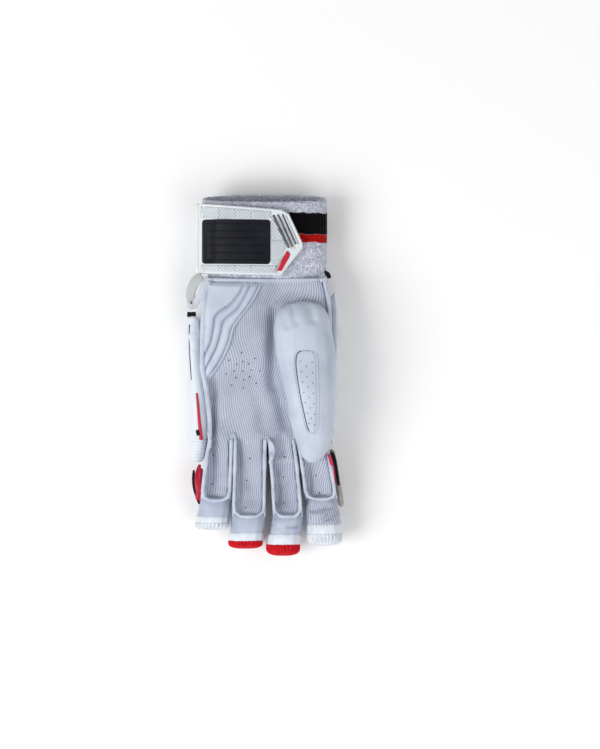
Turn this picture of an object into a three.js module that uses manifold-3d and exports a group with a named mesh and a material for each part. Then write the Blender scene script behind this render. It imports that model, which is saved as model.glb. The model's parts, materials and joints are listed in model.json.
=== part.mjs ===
// Cricket batting glove for a left hand, lying palm up on its padded back.
// Millimetres, +Z up, +Y towards the cuff, +X the thumb side.
// While it is built, y = 0 is the line where the fingers part and z = 0 is the surface that it lies on.
import * as THREE from "three";
import { mergeVertices } from "three/addons/utils/BufferGeometryUtils.js";
import Module from "manifold-3d";

const wasm = await Module();
wasm.setup();

// Driving sizes of the hand
const palmLength = 116;
const palmWidth = 98;
const handDepth = 25;
const padHeight = 13.5;
const leatherWall = 1.8;
const gap = 0.3;
const rimRadius = 1.5;
const frontCorner = 7;
const webDepth = 1.2;
const handPower = 3.2;
const shellBulge = 0.006;
const shellSwell = 0.022;

// Driving lengths of the longest finger: its front, leather wrap, white band and cap
const fingerLength = 60;
const wrapLength = 18;
const bandLength = 6.6;
const capLength = 9.4;

// Driving sizes of the cuff, the strap and its plate
const cuffLength = 64;
const cuffHeight = 34;
const cuffLift = 4;
const cuffWall = 3.2;
const cuffFrontCut = 6.5;
const cuffPower = 2.6;
const strapPlace = 0.48;
const strapWidth = 46;
const strapWall = 2;
const strapGap = 0.5;
const strapInset = 1.6;
const plateWidth = 79;
const plateHeight = 51;
const plateWall = 3.2;
const inlayDepth = 1.1;
const inlayProud = 0.5;
const ribHeight = 0.6;
const stripeWidth = 1.9;
const barWidth = 3.6;
const loopReach = 24;
const loopTape = 6.5;
const loopWall = 1.4;

// Driving sizes of the thumb
const thumbLength = 119;
const thumbWidth = 46;
const thumbRise = 17;
const thumbHole = 13;
const floorGap = 0.9;
const thumbPatchWall = 1;
const thumbLine = 0.285;
const thumbStart = 0.865;
const guardWidth = 5.4;
const guardEnd = -0.05;

// Driving sizes of the pads
const heelWall = 3.4;
const sidePadWidth = 7.8;
const sidePadLean = 2.8;
const indexRollWidth = 3.6;
const sideStripWall = 3.6;
const padGap = 2.2;
const padSeat = 0.63;
const tapeLength = 19;
const pleatDepth = 0.55;
const pleatPitch = 4.1;

// One row for each finger. root, end and cap are the places across the palm, and the widths go with them,
// all as shares of palmWidth. front, wrap, band and depth are shares of the four finger lengths.
const fingers = [
  {
    name: "little", root: -0.343, rootWidth: 0.19, end: -0.384, endWidth: 0.238, cap: -0.415, capWidth: 0.264,
    front: 0.8, wrap: 0.617, band: 0.606, capDepth: 0.596, colour: 0xf0f5f6,
  },
  {
    name: "ring", root: -0.121, rootWidth: 0.252, end: -0.134, endWidth: 0.256, cap: -0.161, capWidth: 0.27,
    front: 1, wrap: 0.617, band: 0.788, capDepth: 0.66, colour: 0xd0182a,
  },
  {
    name: "middle", root: 0.11, rootWidth: 0.208, end: 0.163, endWidth: 0.232, cap: 0.124, capWidth: 0.268,
    front: 1, wrap: 0.689, band: 1, capDepth: 0.936, colour: 0xd0182a,
  },
  {
    name: "index", root: 0.331, rootWidth: 0.23, end: 0.415, endWidth: 0.252, cap: 0.437, capWidth: 0.282,
    front: 0.783, wrap: 1, band: 0.909, capDepth: 1, colour: 0xf0f5f6,
  },
].map((row) => ({
  ...row,
  front: row.front * fingerLength,
  wrap: row.wrap * wrapLength,
  band: row.band * bandLength,
  capDepth: row.capDepth * capLength,
}));

// The palm from the finger roots (along 0) to the wrist seam (along 1). left and right are shares of
// palmWidth, rim and base are heights as shares of handDepth above the pads. The last five are the heights
// of the surface over its rim: at the little finger side, heel, cup, valley by the thumb and thumb root.
const palmRows = [
  {
    along: -0.01, left: -0.438, right: 0.446, rim: 0.94, base: 0,
    little: -0.07, heel: -0.06, cup: -0.06, valley: -0.06, ball: -0.06,
  },
  {
    along: 0.08, left: -0.436, right: 0.452, rim: 0.95, base: 0,
    little: -0.15, heel: -0.05, cup: -0.03, valley: -0.07, ball: -0.06,
  },
  {
    along: 0.32, left: -0.468, right: 0.474, rim: 0.98, base: 0,
    little: -0.16, heel: -0.01, cup: 0.02, valley: -0.07, ball: -0.05,
  },
  {
    along: 0.45, left: -0.498, right: 0.486, rim: 1, base: 0,
    little: -0.06, heel: 0.03, cup: 0.05, valley: -0.06, ball: -0.04,
  },
  {
    along: 0.74, left: -0.49, right: 0.49, rim: 1, base: 0,
    little: 0.01, heel: 0.06, cup: 0.06, valley: -0.06, ball: -0.03,
  },
  {
    along: 0.88, left: -0.484, right: 0.482, rim: 0.99, base: -0.04,
    little: 0.01, heel: 0.05, cup: 0.05, valley: -0.03, ball: 0,
  },
  {
    along: 1, left: -0.446, right: 0.45, rim: 0.97, base: -0.22,
    little: 0, heel: 0.03, cup: 0.03, valley: 0, ball: 0,
  },
];
const palmAcross = { little: 0.1, heel: 0.28, cup: 0.5, valley: 0.66, ball: 0.9 };

// Every finger from its root (along 0) to the end of its front (along 1): heights as shares of handDepth.
const fingerRows = [
  { along: 0, rim: 0.94, sink: 0.08, base: 0 },
  { along: 0.3, rim: 0.93, sink: 0.2, base: 0 },
  { along: 0.75, rim: 0.86, sink: 0.21, base: -0.04 },
  { along: 1, rim: 0.82, sink: 0.13, base: -0.1 },
];

// The finger end from the front's end (along 0) to the cap (along 1): heights as shares of handDepth.
const tipRows = [
  { along: 0, top: 0.83, bottom: -0.12 },
  { along: 0.6, top: 0.82, bottom: -0.26 },
  { along: 1, top: 0.78, bottom: -0.32 },
];

// The cuff from the wrist seam (along 0) to its mouth (along 1). centre and half are shares of palmWidth,
// low and high are shares of cuffHeight.
const cuffRows = [
  { along: 0, centre: 0.002, half: 0.448, low: 0.12, high: 0.985 },
  { along: 0.12, centre: 0, half: 0.452, low: 0.05, high: 0.99 },
  { along: 0.5, centre: -0.006, half: 0.464, low: 0.01, high: 1 },
  { along: 1, centre: -0.016, half: 0.474, low: 0.02, high: 1 },
];

// The thumb from its base (along 0) to its tip (along 1): left and right are shares of thumbWidth measured
// from the thumb's line, rise is a share of thumbRise.
const thumbRows = [
  { along: 0, left: -0.08, right: 0.1, rise: 0.12 },
  { along: 0.025, left: -0.33, right: 0.27, rise: 0.42 },
  { along: 0.08, left: -0.46, right: 0.38, rise: 0.68 },
  { along: 0.16, left: -0.49, right: 0.43, rise: 0.86 },
  { along: 0.33, left: -0.47, right: 0.5, rise: 1 },
  { along: 0.57, left: -0.32, right: 0.5, rise: 0.98 },
  { along: 0.78, left: -0.21, right: 0.475, rise: 0.88 },
  { along: 0.9, left: -0.115, right: 0.405, rise: 0.7 },
  { along: 0.96, left: -0.045, right: 0.31, rise: 0.5 },
  { along: 1, left: 0.06, right: 0.18, rise: 0.14 },
];

// The grip patch on the thumb: places along it, and half its width as a share of thumbWidth.
const thumbPatchRows = [
  { along: 0.305, half: 0.03 },
  { along: 0.325, half: 0.12 },
  { along: 0.35, half: 0.165 },
  { along: 0.45, half: 0.17 },
  { along: 0.65, half: 0.15 },
  { along: 0.78, half: 0.11 },
  { along: 0.82, half: 0.03 },
];

// The heel pad from the wrist (along 0) to its point (along 1). Each line is an edge or channel that crosses
// the palm: x is a share of palmWidth, y a share of palmLength. The first edge runs beside the palm's rim,
// and the channels come second and third.
const heelRows = [
  { along: 0, y0: 0.985, x1: -0.164, y1: 0.98, x2: -0.114, y2: 0.975, x3: -0.022, y3: 0.975 },
  { along: 0.25, y0: 0.88, x1: -0.262, y1: 0.863, x2: -0.215, y2: 0.83, x3: -0.12, y3: 0.83 },
  { along: 0.5, y0: 0.75, x1: -0.386, y1: 0.755, x2: -0.325, y2: 0.73, x3: -0.232, y3: 0.705 },
  { along: 0.75, y0: 0.6, x1: -0.42, y1: 0.6, x2: -0.382, y2: 0.56, x3: -0.322, y3: 0.49 },
  { along: 1, y0: 0.34, x1: -0.458, y1: 0.34, x2: -0.45, y2: 0.335, x3: -0.44, y3: 0.33 },
];

const leatherWhite = 0xd3d7e6;
const paddingWhite = 0xeef2f6;
const knitWhite = 0xd9dbe8;
const plateWhite = 0xeff3f1;
const inkBlack = 0x1b1d28;
const clubRed = 0xcc1133;
const tapeGrey = 0xb9bdbd;

// Value of a column at a place along a table, on a smooth curve through the rows.
function at(table, column, place) {
  let i = 0;
  while (i < table.length - 2 && place > table[i + 1].along) i += 1;
  const slope = (j) => {
    const a = table[Math.max(j - 1, 0)];
    const b = table[Math.min(j + 1, table.length - 1)];
    return (b[column] - a[column]) / (b.along - a.along);
  };
  const p = table[i];
  const q = table[i + 1];
  const span = q.along - p.along;
  const t = Math.min(Math.max((place - p.along) / span, 0), 1);
  const rest = 1 - t;
  return (
    p[column] * (1 + 2 * t) * rest * rest +
    slope(i) * span * t * rest * rest +
    q[column] * t * t * (3 - 2 * t) -
    slope(i + 1) * span * t * t * rest
  );
}

const mix = (a, b, t) => a + (b - a) * t;
const steps = (count) => Array.from({ length: count + 1 }, (_, i) => i / count);
const signedPower = (v, power) => Math.sign(v) * Math.abs(v) ** power;

// A closed geometry of triangles, turned to face out.
function closedGeometry(points, faces) {
  const volume = faces.reduce((sum, [a, b, c]) => {
    const cross = new THREE.Vector3().crossVectors(points[b], points[c]);
    return sum + points[a].dot(cross);
  }, 0);
  const index = faces.flatMap(([a, b, c]) => (volume < 0 ? [a, c, b] : [a, b, c]));
  const geometry = new THREE.BufferGeometry().setFromPoints(points);
  return geometry.setIndex(index);
}

// A solid through convex rings of equal count, closed by a fan at both ends.
function loftSolid(rings) {
  const count = rings[0].length;
  const points = rings.flat();
  const faces = [];
  for (let r = 0; r + 1 < rings.length; r += 1) {
    for (let i = 0; i < count; i += 1) {
      const j = (i + 1) % count;
      const a = r * count;
      const b = a + count;
      faces.push([a + i, b + i, b + j], [a + i, b + j, a + j]);
    }
  }
  [0, rings.length - 1].forEach((r) => {
    const middle = rings[r].reduce((sum, p) => sum.add(p), new THREE.Vector3()).divideScalar(count);
    points.push(middle);
    for (let i = 0; i < count; i += 1) {
      const j = (i + 1) % count;
      const fan = [points.length - 1, r * count + i, r * count + j];
      faces.push(r === 0 ? fan : fan.reverse());
    }
  });
  return closedGeometry(points, faces);
}

// A thin wall through rows that each hold an outer and an inner line. A round wall closes on itself.
function loftWall(rows, round = false) {
  const count = rows[0].outer.length;
  const points = rows.flatMap((row) => [...row.outer, ...row.inner]);
  const faces = [];
  const quad = (a, b, c, d) => faces.push([a, b, c], [a, c, d]);
  const last = rows.length - 1;
  const across = round ? count : count - 1;
  for (let r = 0; r <= last; r += 1) {
    const here = r * 2 * count;
    const next = here + 2 * count;
    for (let i = 0; i < across; i += 1) {
      const j = (i + 1) % count;
      if (r < last) {
        quad(here + i, here + j, next + j, next + i);
        quad(here + count + j, here + count + i, next + count + i, next + count + j);
      }
      if (r === 0) quad(here + j, here + i, here + count + i, here + count + j);
      if (r === last) quad(here + i, here + j, here + count + j, here + count + i);
    }
    if (!round && r < last) {
      const end = count - 1;
      quad(here + count, here, next, next + count);
      quad(here + end, here + count + end, next + count + end, next + end);
    }
  }
  return closedGeometry(points, faces);
}

// Booleans
function solidOf(geometry) {
  const bare = geometry.clone();
  bare.deleteAttribute("normal");
  bare.deleteAttribute("uv");
  const merged = mergeVertices(bare, 1e-4);
  const triVerts = new Uint32Array(merged.index.array);
  return new wasm.Manifold(
    new wasm.Mesh({ numProp: 3, vertProperties: merged.attributes.position.array, triVerts }),
  );
}

function geometryOf(solid) {
  const mesh = solid.getMesh();
  const geometry = new THREE.BufferGeometry();
  geometry.setAttribute("position", new THREE.BufferAttribute(mesh.vertProperties, 3));
  return geometry.setIndex(new THREE.BufferAttribute(mesh.triVerts, 1));
}

const joined = (parts) => geometryOf(parts.map(solidOf).reduce((a, b) => a.add(b)));
const cut = (whole, ...tools) =>
  geometryOf(tools.map(solidOf).reduce((a, b) => a.subtract(b), solidOf(whole)));

const group = new THREE.Group();

function piece(name, geometry, color, roughness = 0.7) {
  geometry.computeVertexNormals();
  const mesh = new THREE.Mesh(geometry, new THREE.MeshStandardMaterial({ color, roughness }));
  mesh.name = name;
  group.add(mesh);
}

// Heights and edges of the palm
const sheetInset = 2 * rimRadius + gap;
const heightAt = (share) => padHeight + handDepth * share;

function palmAt(place) {
  const value = (column) => at(palmRows, column, place);
  const left = palmWidth * value("left");
  const right = palmWidth * value("right");
  const profile = [
    { along: 0, z: -0.03 },
    ...Object.entries(palmAcross).map(([column, along]) => ({ along, z: value(column) })),
    { along: 1, z: -0.03 },
  ];
  return {
    left,
    right,
    y: palmLength * place,
    rim: heightAt(value("rim")),
    base: heightAt(value("base")),
    topAt: (t) => heightAt(value("rim") + at(profile, "z", t)),
  };
}

// A sheet over the palm between its rims, raised by lift and as thick as it is told.
function palmSheet(lift, thickness, inset) {
  const web = -webDepth / palmLength;
  const rows = [web, 0.04, 0.13, 0.26, 0.4, 0.54, 0.68, 0.82, 0.93, 1 - gap / palmLength];
  return loftWall(
    rows.map((place) => {
      const { left, right, y, topAt } = palmAt(place);
      const outer = steps(10).map((t) => {
        return new THREE.Vector3(mix(left + inset, right - inset, t), y, topAt(t) + lift);
      });
      const inner = outer.map((p) => p.clone().setZ(p.z - thickness));
      return { outer, inner };
    }),
  );
}

// Half width and centre of a finger's front at a distance from its root, inside its rounded end.
function fingerAt(finger, distance, inset) {
  const share = Math.min(distance / finger.front, 1);
  const centre = palmWidth * mix(finger.root, finger.end, share ** 0.8);
  let half = (palmWidth * mix(finger.rootWidth, finger.endWidth, share ** 0.7)) / 2 - inset;
  const corner = frontCorner - inset;
  const past = Math.max(distance - (finger.front - frontCorner), 0);
  half -= corner - Math.sqrt(Math.max(corner * corner - past * past, 0));
  return { centre, half, rim: at(fingerRows, "rim", share), sink: at(fingerRows, "sink", share) };
}

function fingerSheet(finger) {
  const inset = sheetInset;
  const straight = finger.front - frontCorner;
  const start = 0.03 * palmLength;
  const turn = [20, 45, 70].map((angle) => {
    return straight + (frontCorner - inset) * Math.sin(THREE.MathUtils.degToRad(angle));
  });
  const places = [...steps(5).map((t) => mix(-start, straight, t)), ...turn];
  return loftWall(
    places.map((distance) => {
      const { centre, half, rim, sink } = fingerAt(finger, Math.max(distance, 0), inset);
      const outer = steps(6).map((t) => {
        const edge = Math.abs(2 * t - 1) ** 3;
        const z = heightAt(rim - 0.075 * edge - sink * (1 - edge));
        return new THREE.Vector3(centre + half * (2 * t - 1), -distance, z);
      });
      const inner = outer.map((p) => p.clone().setZ(p.z - leatherWall));
      return { outer, inner };
    }),
  );
}

// A round tube through points.
function tube(points, radius, sides, count) {
  const section = new THREE.Shape();
  steps(sides).slice(0, -1).forEach((t, i) => {
    const angle = 2 * Math.PI * t;
    const x = radius * Math.cos(angle);
    const y = radius * Math.sin(angle);
    if (i === 0) section.moveTo(x, y);
    else section.lineTo(x, y);
  });
  const path = new THREE.CatmullRomCurve3(points);
  return new THREE.ExtrudeGeometry(section, { steps: count, bevelEnabled: false, extrudePath: path });
}

// The turned seam round a finger's front, from one side of its root to the other.
function fingerRim(finger) {
  const inset = rimRadius;
  const straight = finger.front - frontCorner;
  const start = webDepth + gap;
  const turn = [0, 25, 50, 75].map((angle) => {
    return straight + (frontCorner - inset) * Math.sin(THREE.MathUtils.degToRad(angle));
  });
  const places = [...steps(5).slice(0, -1).map((t) => mix(start, straight, t)), ...turn];
  const side = (sign) => {
    return places.map((distance) => {
      const { centre, half, rim } = fingerAt(finger, distance, inset);
      return new THREE.Vector3(centre + sign * half, -distance, heightAt(rim));
    });
  };
  return tube([...side(-1), ...side(1).reverse()], rimRadius, 5, 22);
}

// A trough open above: a wall of leather from the left edge, under the hand, to the right edge.
function trough(rows, bulge, power) {
  return loftWall(
    rows.map(({ left, right, y, top, base }) => {
      const line = (wall) => {
        return steps(11).map((t) => {
          const angle = Math.PI * (1 + t);
          const c = signedPower(Math.cos(angle), 2 / power);
          const s = Math.abs(Math.sin(angle)) ** (2 / power);
          const half = (right - left) / 2 - wall + bulge * 4 * s * (1 - s);
          const z = top - (top - base - wall) * s;
          return new THREE.Vector3((left + right) / 2 + half * c, y, z);
        });
      };
      return { outer: line(0), inner: line(leatherWall) };
    }),
  );
}

// Height of the hand's underside at a place across it
function shellFloor(x, y) {
  const { left, right, rim, base } = palmAt(y / palmLength);
  const top = rim - rimRadius - gap;
  const side = Math.min(Math.abs(x - (left + right) / 2) / ((right - left) / 2), 1);
  return top - (top - base) * (1 - side ** handPower) ** (1 / handPower);
}

function handShell() {
  const places = [-webDepth / palmLength, 0.1, 0.28, 0.44, 0.6, 0.76, 0.88, 1 - gap / palmLength];
  const rows = places.map((place) => {
    const { left, right, y, rim, base } = palmAt(place);
    return { left, right, y, top: rim - rimRadius - gap, base };
  });
  return trough(rows, shellSwell * palmWidth, handPower);
}

function fingerShell(finger) {
  const places = steps(3).map((t) => mix(webDepth + gap, finger.front - gap, t));
  const rows = places.map((distance) => {
    const share = distance / finger.front;
    const centre = palmWidth * mix(finger.root, finger.end, share ** 0.8);
    const half = (palmWidth * mix(finger.rootWidth, finger.endWidth, share ** 0.7)) / 2;
    return {
      left: centre - half + gap / 2,
      right: centre + half - gap / 2,
      y: -distance,
      top: heightAt(at(fingerRows, "rim", share)) - rimRadius - gap,
      base: heightAt(at(fingerRows, "base", share)),
    };
  });
  return trough(rows, 0, 3.6);
}

// The seam along one side of the palm.
function palmRim(sign) {
  const places = steps(9).map((t) => mix(0, 1 - 2 * gap / palmLength, t));
  const points = places.map((place) => {
    const { left, right, y, rim } = palmAt(place);
    return new THREE.Vector3(sign < 0 ? left + rimRadius : right - rimRadius, y, rim);
  });
  return tube(points, rimRadius, 5, 12);
}

// One ring of an oval with flattish sides.
function oval(y, centre, half, low, high, count, power) {
  return steps(count).slice(0, -1).map((t) => {
    const angle = 2 * Math.PI * t;
    const x = centre + half * signedPower(Math.cos(angle), 2 / power);
    const z = mix(low, high, (1 + signedPower(Math.sin(angle), 2 / power)) / 2);
    return new THREE.Vector3(x, typeof y === "function" ? y(z) : y, z);
  });
}

// Place of a finger's end, from the end of its front (0) to its cap (1).
function tipAt(finger, place, grow) {
  const centre = palmWidth * mix(finger.end, finger.cap, place);
  const half = (palmWidth * mix(finger.endWidth, finger.capWidth, place)) / 2 - 2 * gap;
  const low = heightAt(at(tipRows, "bottom", place));
  const high = heightAt(at(tipRows, "top", place));
  return [centre, half + grow, low - grow, high + grow];
}

function tipSleeve(finger, from, to, grow, bead) {
  const length = finger.wrap + finger.band;
  const rings = steps(2).map((t) => {
    const distance = mix(from, to, t);
    const swell = grow + bead * Math.sin(Math.PI * t);
    const [centre, half, low, high] = tipAt(finger, distance / length, swell);
    const y = -(finger.front + distance);
    return {
      outer: oval(y, centre, half, low, high, 12, 2.5),
      inner: oval(y, centre, half - leatherWall, low + leatherWall, high - leatherWall, 12, 2.5),
    };
  });
  return loftWall(rings, true);
}

// A pleated padded end cap.
function tipCap(finger) {
  const start = finger.front + finger.wrap + finger.band + gap;
  const [centre, half, low, high] = tipAt(finger, 1, gap);
  const round = Math.PI * (half + (high - low) / 2);
  const pleats = Math.round(round / pleatPitch);
  const shape = [
    { depth: 0, size: 0.97 },
    { depth: 0.4, size: 1 },
    { depth: 0.82, size: 0.88 },
    { depth: 1, size: 0.6 },
  ];
  return loftSolid(
    shape.map(({ depth, size }) => {
      const y = -(start + finger.capDepth * depth);
      const middle = (low + high) / 2;
      return oval(y, centre, half, low, high, 2 * pleats, 2.6).map((p, i) => {
        const fold = i % 2 === 0 ? 0 : pleatDepth / half;
        const scale = size * (1 - fold);
        return new THREE.Vector3(centre + (p.x - centre) * scale, y, middle + (p.z - middle) * scale);
      });
    }),
  );
}

// A padded block with rounded ends, resting flat underneath. Its sides, and its top if that is a function,
// follow what it lies against.
function pad(from, to, sideAt, low, high, power = 3.2, turns = 1) {
  const topAt = typeof high === "function" ? high : () => high;
  const roundEnd = 0.14;
  const body = steps(turns).map((t) => mix(roundEnd, 1 - roundEnd, t));
  return loftSolid(
    [0, ...body, 1].map((share) => {
      const size = share === 0 || share === 1 ? 0.76 : 1;
      const y = mix(from, to, share);
      const [left, right] = sideAt(y);
      const top = mix(low, topAt(y), (1 + size) / 2);
      const ring = oval(y, (left + right) / 2, ((right - left) / 2) * size, low, top, 10, power);
      return ring.map((p) => (p.z < mix(low, top, 0.06) ? p.setZ(low) : p));
    }),
  );
}

// Surface of the cuff
const seamY = palmLength + gap;

function cuffAt(y) {
  const place = (y - seamY) / cuffLength;
  return {
    centre: palmWidth * at(cuffRows, "centre", place),
    half: palmWidth * at(cuffRows, "half", place),
    low: cuffLift + cuffHeight * at(cuffRows, "low", place),
    high: cuffLift + cuffHeight * at(cuffRows, "high", place),
  };
}

function cuff() {
  const places = [0, 0.1, 0.3, 0.55, 0.8, 1];
  const rings = places.map((place) => {
    const y = seamY + cuffLength * place;
    const { centre, half, low, high } = cuffAt(y);
    const slant = (z) => y - cuffFrontCut * place * place * ((z - low) / (high - low));
    const thick = cuffWall;
    return {
      outer: oval(slant, centre, half, low, high, 22, cuffPower),
      inner: oval(slant, centre, half - thick, low + thick, high - thick, 22, cuffPower),
    };
  });
  return loftWall(rings, true);
}

// A point over the cuff, lift above it, at an angle from the thumb side.
function overCuff(y, angle, lift) {
  const { centre, half, low, high } = cuffAt(y);
  const x = centre + (half + lift) * signedPower(Math.cos(angle), 2 / cuffPower);
  const reach = (high - low) / 2 + lift;
  const z = (low + high) / 2 + reach * signedPower(Math.sin(angle), 2 / cuffPower);
  return new THREE.Vector3(x, y, z);
}

const strapMiddleY = seamY + strapPlace * cuffLength;

// The strap's plate: x is a share of plateWidth from its left end, low and high are shares of plateHeight.
const plateLeft = palmWidth * -0.532;
const plateLow = seamY + 0.045 * cuffLength;
const plateRows = [
  { along: 0, low: 0.04, high: 1.06 },
  { along: 0.06, low: 0.03, high: 1.05 },
  { along: 0.8, low: 0, high: 0.96 },
  { along: 0.87, low: 0.16, high: 0.9 },
  { along: 0.94, low: 0.34, high: 0.66 },
  { along: 1, low: 0.4, high: 0.47 },
];
const plateLift = strapGap + gap + strapWall;
const plateX = (share) => plateLeft + plateWidth * share;
const plateY = (share) => plateLow + plateHeight * share;
const straightAt = (rows, column, place) => {
  const i = Math.max(rows.findIndex((row) => row.along >= place), 1);
  const [a, b] = [rows[i - 1], rows[i]];
  return mix(a[column], b[column], (place - a.along) / (b.along - a.along));
};

function strap() {
  const from = THREE.MathUtils.degToRad(70);
  const to = THREE.MathUtils.degToRad(300);
  return loftWall(
    steps(17).map((t) => {
      const angle = mix(from, to, t);
      const share = (overCuff(strapMiddleY, angle, strapGap).x - plateLeft) / plateWidth;
      const under = angle < Math.PI && share > 0;
      const low = under ? plateY(straightAt(plateRows, "low", share)) + strapInset : 0;
      const high = under ? plateY(straightAt(plateRows, "high", share)) - strapInset : seamY + cuffLength;
      const places = [-1, 0, 1].map((side) => {
        const y = strapMiddleY + (side * strapWidth) / 2;
        return Math.min(Math.max(y, low), high);
      });
      return {
        outer: places.map((y) => overCuff(y, angle, strapGap + strapWall)),
        inner: places.map((y) => overCuff(y, angle, strapGap)),
      };
    }),
  );
}

// Height over the cuff's palm side at a place across it.
function wristTop(x, y, lift) {
  const { centre, half, low, high } = cuffAt(y);
  const share = Math.min(Math.abs(x - centre) / (half + lift), 0.985);
  return (low + high) / 2 + ((high - low) / 2 + lift) * (1 - share ** cuffPower) ** (1 / cuffPower);
}

// A plate that follows the wrist: rows hold its place across and its two edges along the wrist.
function wristPlate(rows, lift, thickness, bevel = 0) {
  return loftSolid(
    rows.map(({ x, low, high }) => {
      const edge = Math.min(bevel, (high - low) / 4);
      const point = (y, up) => new THREE.Vector3(x, y, wristTop(x, y, lift) + up);
      return [
        point(low, 0),
        point(low, thickness - edge),
        point(low + edge, thickness),
        point(high - edge, thickness),
        point(high, thickness - edge),
        point(high, 0),
      ];
    }),
  );
}

function plateBody() {
  const places = [0, 0.03, 0.07, 0.13, 0.2, 0.3, 0.44, 0.58, 0.7, 0.8, 0.87, 1];
  const rows = places.map((place) => ({
    x: plateX(place),
    low: plateY(straightAt(plateRows, "low", place)),
    high: plateY(straightAt(plateRows, "high", place)),
  }));
  return wristPlate(rows, plateLift, plateWall, 0.035 * plateHeight);
}

// An inlay with straight slanted ends, or its slot when grow is the clearance round it.
function inlay({ from, to, lowFrom, lowTo, highFrom, highTo }, grow, floor, top, count) {
  const a = from - grow / plateWidth;
  const b = to + grow / plateWidth;
  const along = (t) => (mix(a, b, t) - from) / (to - from);
  const rows = steps(count).map((t) => ({
    x: plateX(mix(a, b, t)),
    low: plateY(mix(lowFrom, lowTo, along(t))) - grow,
    high: plateY(mix(highFrom, highTo, along(t))) + grow,
  }));
  return wristPlate(rows, plateLift + floor, top - floor);
}

const panelPlace = { from: 0.09, to: 0.69, lowFrom: 0.22, lowTo: 0.21, highFrom: 0.82, highTo: 0.8 };
const stripePlace = (n) => {
  const shift = 0.036 * n;
  const height = stripeWidth / plateHeight;
  return {
    from: 0.725 + shift,
    to: 0.86 + shift,
    lowFrom: 0.86 - 0.01 * n - height,
    lowTo: 0.38 - 0.01 * n + 0.5 * height,
    highFrom: 0.86 - 0.01 * n + height,
    highTo: 0.38 - 0.01 * n + 2.5 * height,
  };
};
const barPlace = {
  from: 0.75,
  to: 0.87,
  lowFrom: 0.05,
  lowTo: 0.3 - barWidth / plateHeight / 2,
  highFrom: 0.05 + barWidth / plateHeight,
  highTo: 0.3 + barWidth / plateHeight,
};
const inlayFloor = plateWall - inlayDepth;

function panel() {
  const ribs = steps(2).map((t) => {
    const middle = mix(0.34, 0.69, t);
    const half = 0.022;
    const [low, high] = [middle - half, middle + half];
    const place = { from: 0.13, to: 0.65, lowFrom: low, lowTo: low, highFrom: high, highTo: high };
    return inlay(place, 0, inlayFloor + inlayDepth / 2, plateWall + inlayProud + ribHeight, 5);
  });
  return joined([inlay(panelPlace, 0, inlayFloor, plateWall + inlayProud, 6), ...ribs]);
}

// Webbing folded into a loop that hangs from under the plate at the little finger side.
function pullLoop() {
  const y = plateY(plateRows[0].low) - 2 * gap;
  const top = new THREE.Vector3(plateX(0.065), y, wristTop(plateX(0.065), y, plateLift) + plateWall / 2);
  const points = [
    top.clone(),
    top.clone().add(new THREE.Vector3(-1.2, -0.4 * loopReach, 2.4)),
    top.clone().add(new THREE.Vector3(-5.5, -0.84 * loopReach, 1.8)),
    top.clone().add(new THREE.Vector3(-8.2, -loopReach, -1.6)),
    top.clone().add(new THREE.Vector3(-8.8, -0.8 * loopReach, -5)),
    top.clone().add(new THREE.Vector3(-8, -0.4 * loopReach, -7.4)),
    top.clone().add(new THREE.Vector3(-6.5, -0.04 * loopReach, -9)),
  ];
  const section = new THREE.Shape();
  section.moveTo(-loopWall / 2, -loopTape / 2);
  section.lineTo(loopWall / 2, -loopTape / 2);
  section.lineTo(loopWall / 2, loopTape / 2);
  section.lineTo(-loopWall / 2, loopTape / 2);
  const extrudePath = new THREE.CatmullRomCurve3(points);
  return new THREE.ExtrudeGeometry(section, { steps: 24, bevelEnabled: false, extrudePath });
}

// The thumb, laid over the palm
const thumbFoot = heightAt(1) + rimRadius + gap;

function thumbAt(place) {
  const line = palmWidth * thumbLine;
  return {
    y: palmLength * thumbStart - thumbLength * place,
    left: line + thumbWidth * at(thumbRows, "left", place),
    right: line + thumbWidth * at(thumbRows, "right", place),
    rise: thumbRise * at(thumbRows, "rise", place),
  };
}
const thumbPlaces = [0, 0.02, 0.05, 0.1, 0.18, 0.32, 0.48, 0.62, 0.74, 0.83, 0.91, 0.96, 0.985, 1];

// A shell over the thumb's foot, raised by lift.
function thumbDome(lift, thickness, inset = 0) {
  return loftWall(
    thumbPlaces.map((place) => {
      const { y, left, right, rise } = thumbAt(place);
      const half = Math.max((right - left) / 2 - inset, 0.4);
      const line = (down) => {
        return steps(8).map((t) => {
          const side = -Math.cos(Math.PI * t);
          const dome = (1 - Math.abs(side) ** 2.4) ** (1 / 2.2);
          const shrink = Math.max(half - down, 0.2);
          const z = thumbFoot + leatherWall + gap + Math.max(rise - down, 0.1 * rise) * dome;
          return new THREE.Vector3((left + right) / 2 + shrink * side, y, z + lift);
        });
      };
      return { outer: line(0), inner: line(thickness) };
    }),
  );
}

// Its floor lies on the palm, and on the rims of the hand and of the fingers.
function thumbFloor() {
  return loftWall(
    thumbPlaces.map((place) => {
      const { y, left, right } = thumbAt(place);
      const top = thumbFoot + leatherWall;
      const outer = steps(5).map((t) => new THREE.Vector3(mix(left, right, t), y, top));
      const inner = steps(5).map((t) => {
        const p = new THREE.Vector3(mix(left, right, t), y, thumbFoot);
        const onPalm = t < 0.7 && y > 0.05 * palmLength;
        return onPalm ? p.setZ(surfaceOf(p) + floorGap) : p;
      });
      return { outer, inner };
    }),
  );
}

// The way from the hand into the thumb
function thumbPassage() {
  const { y, left, right } = thumbAt(0.3);
  const hole = new THREE.CylinderGeometry(thumbHole, thumbHole, 2 * handDepth, 20);
  hole.rotateX(Math.PI / 2);
  hole.scale(1, 1.35, 1);
  return hole.translate((left + right) / 2, y, thumbFoot);
}

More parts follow.
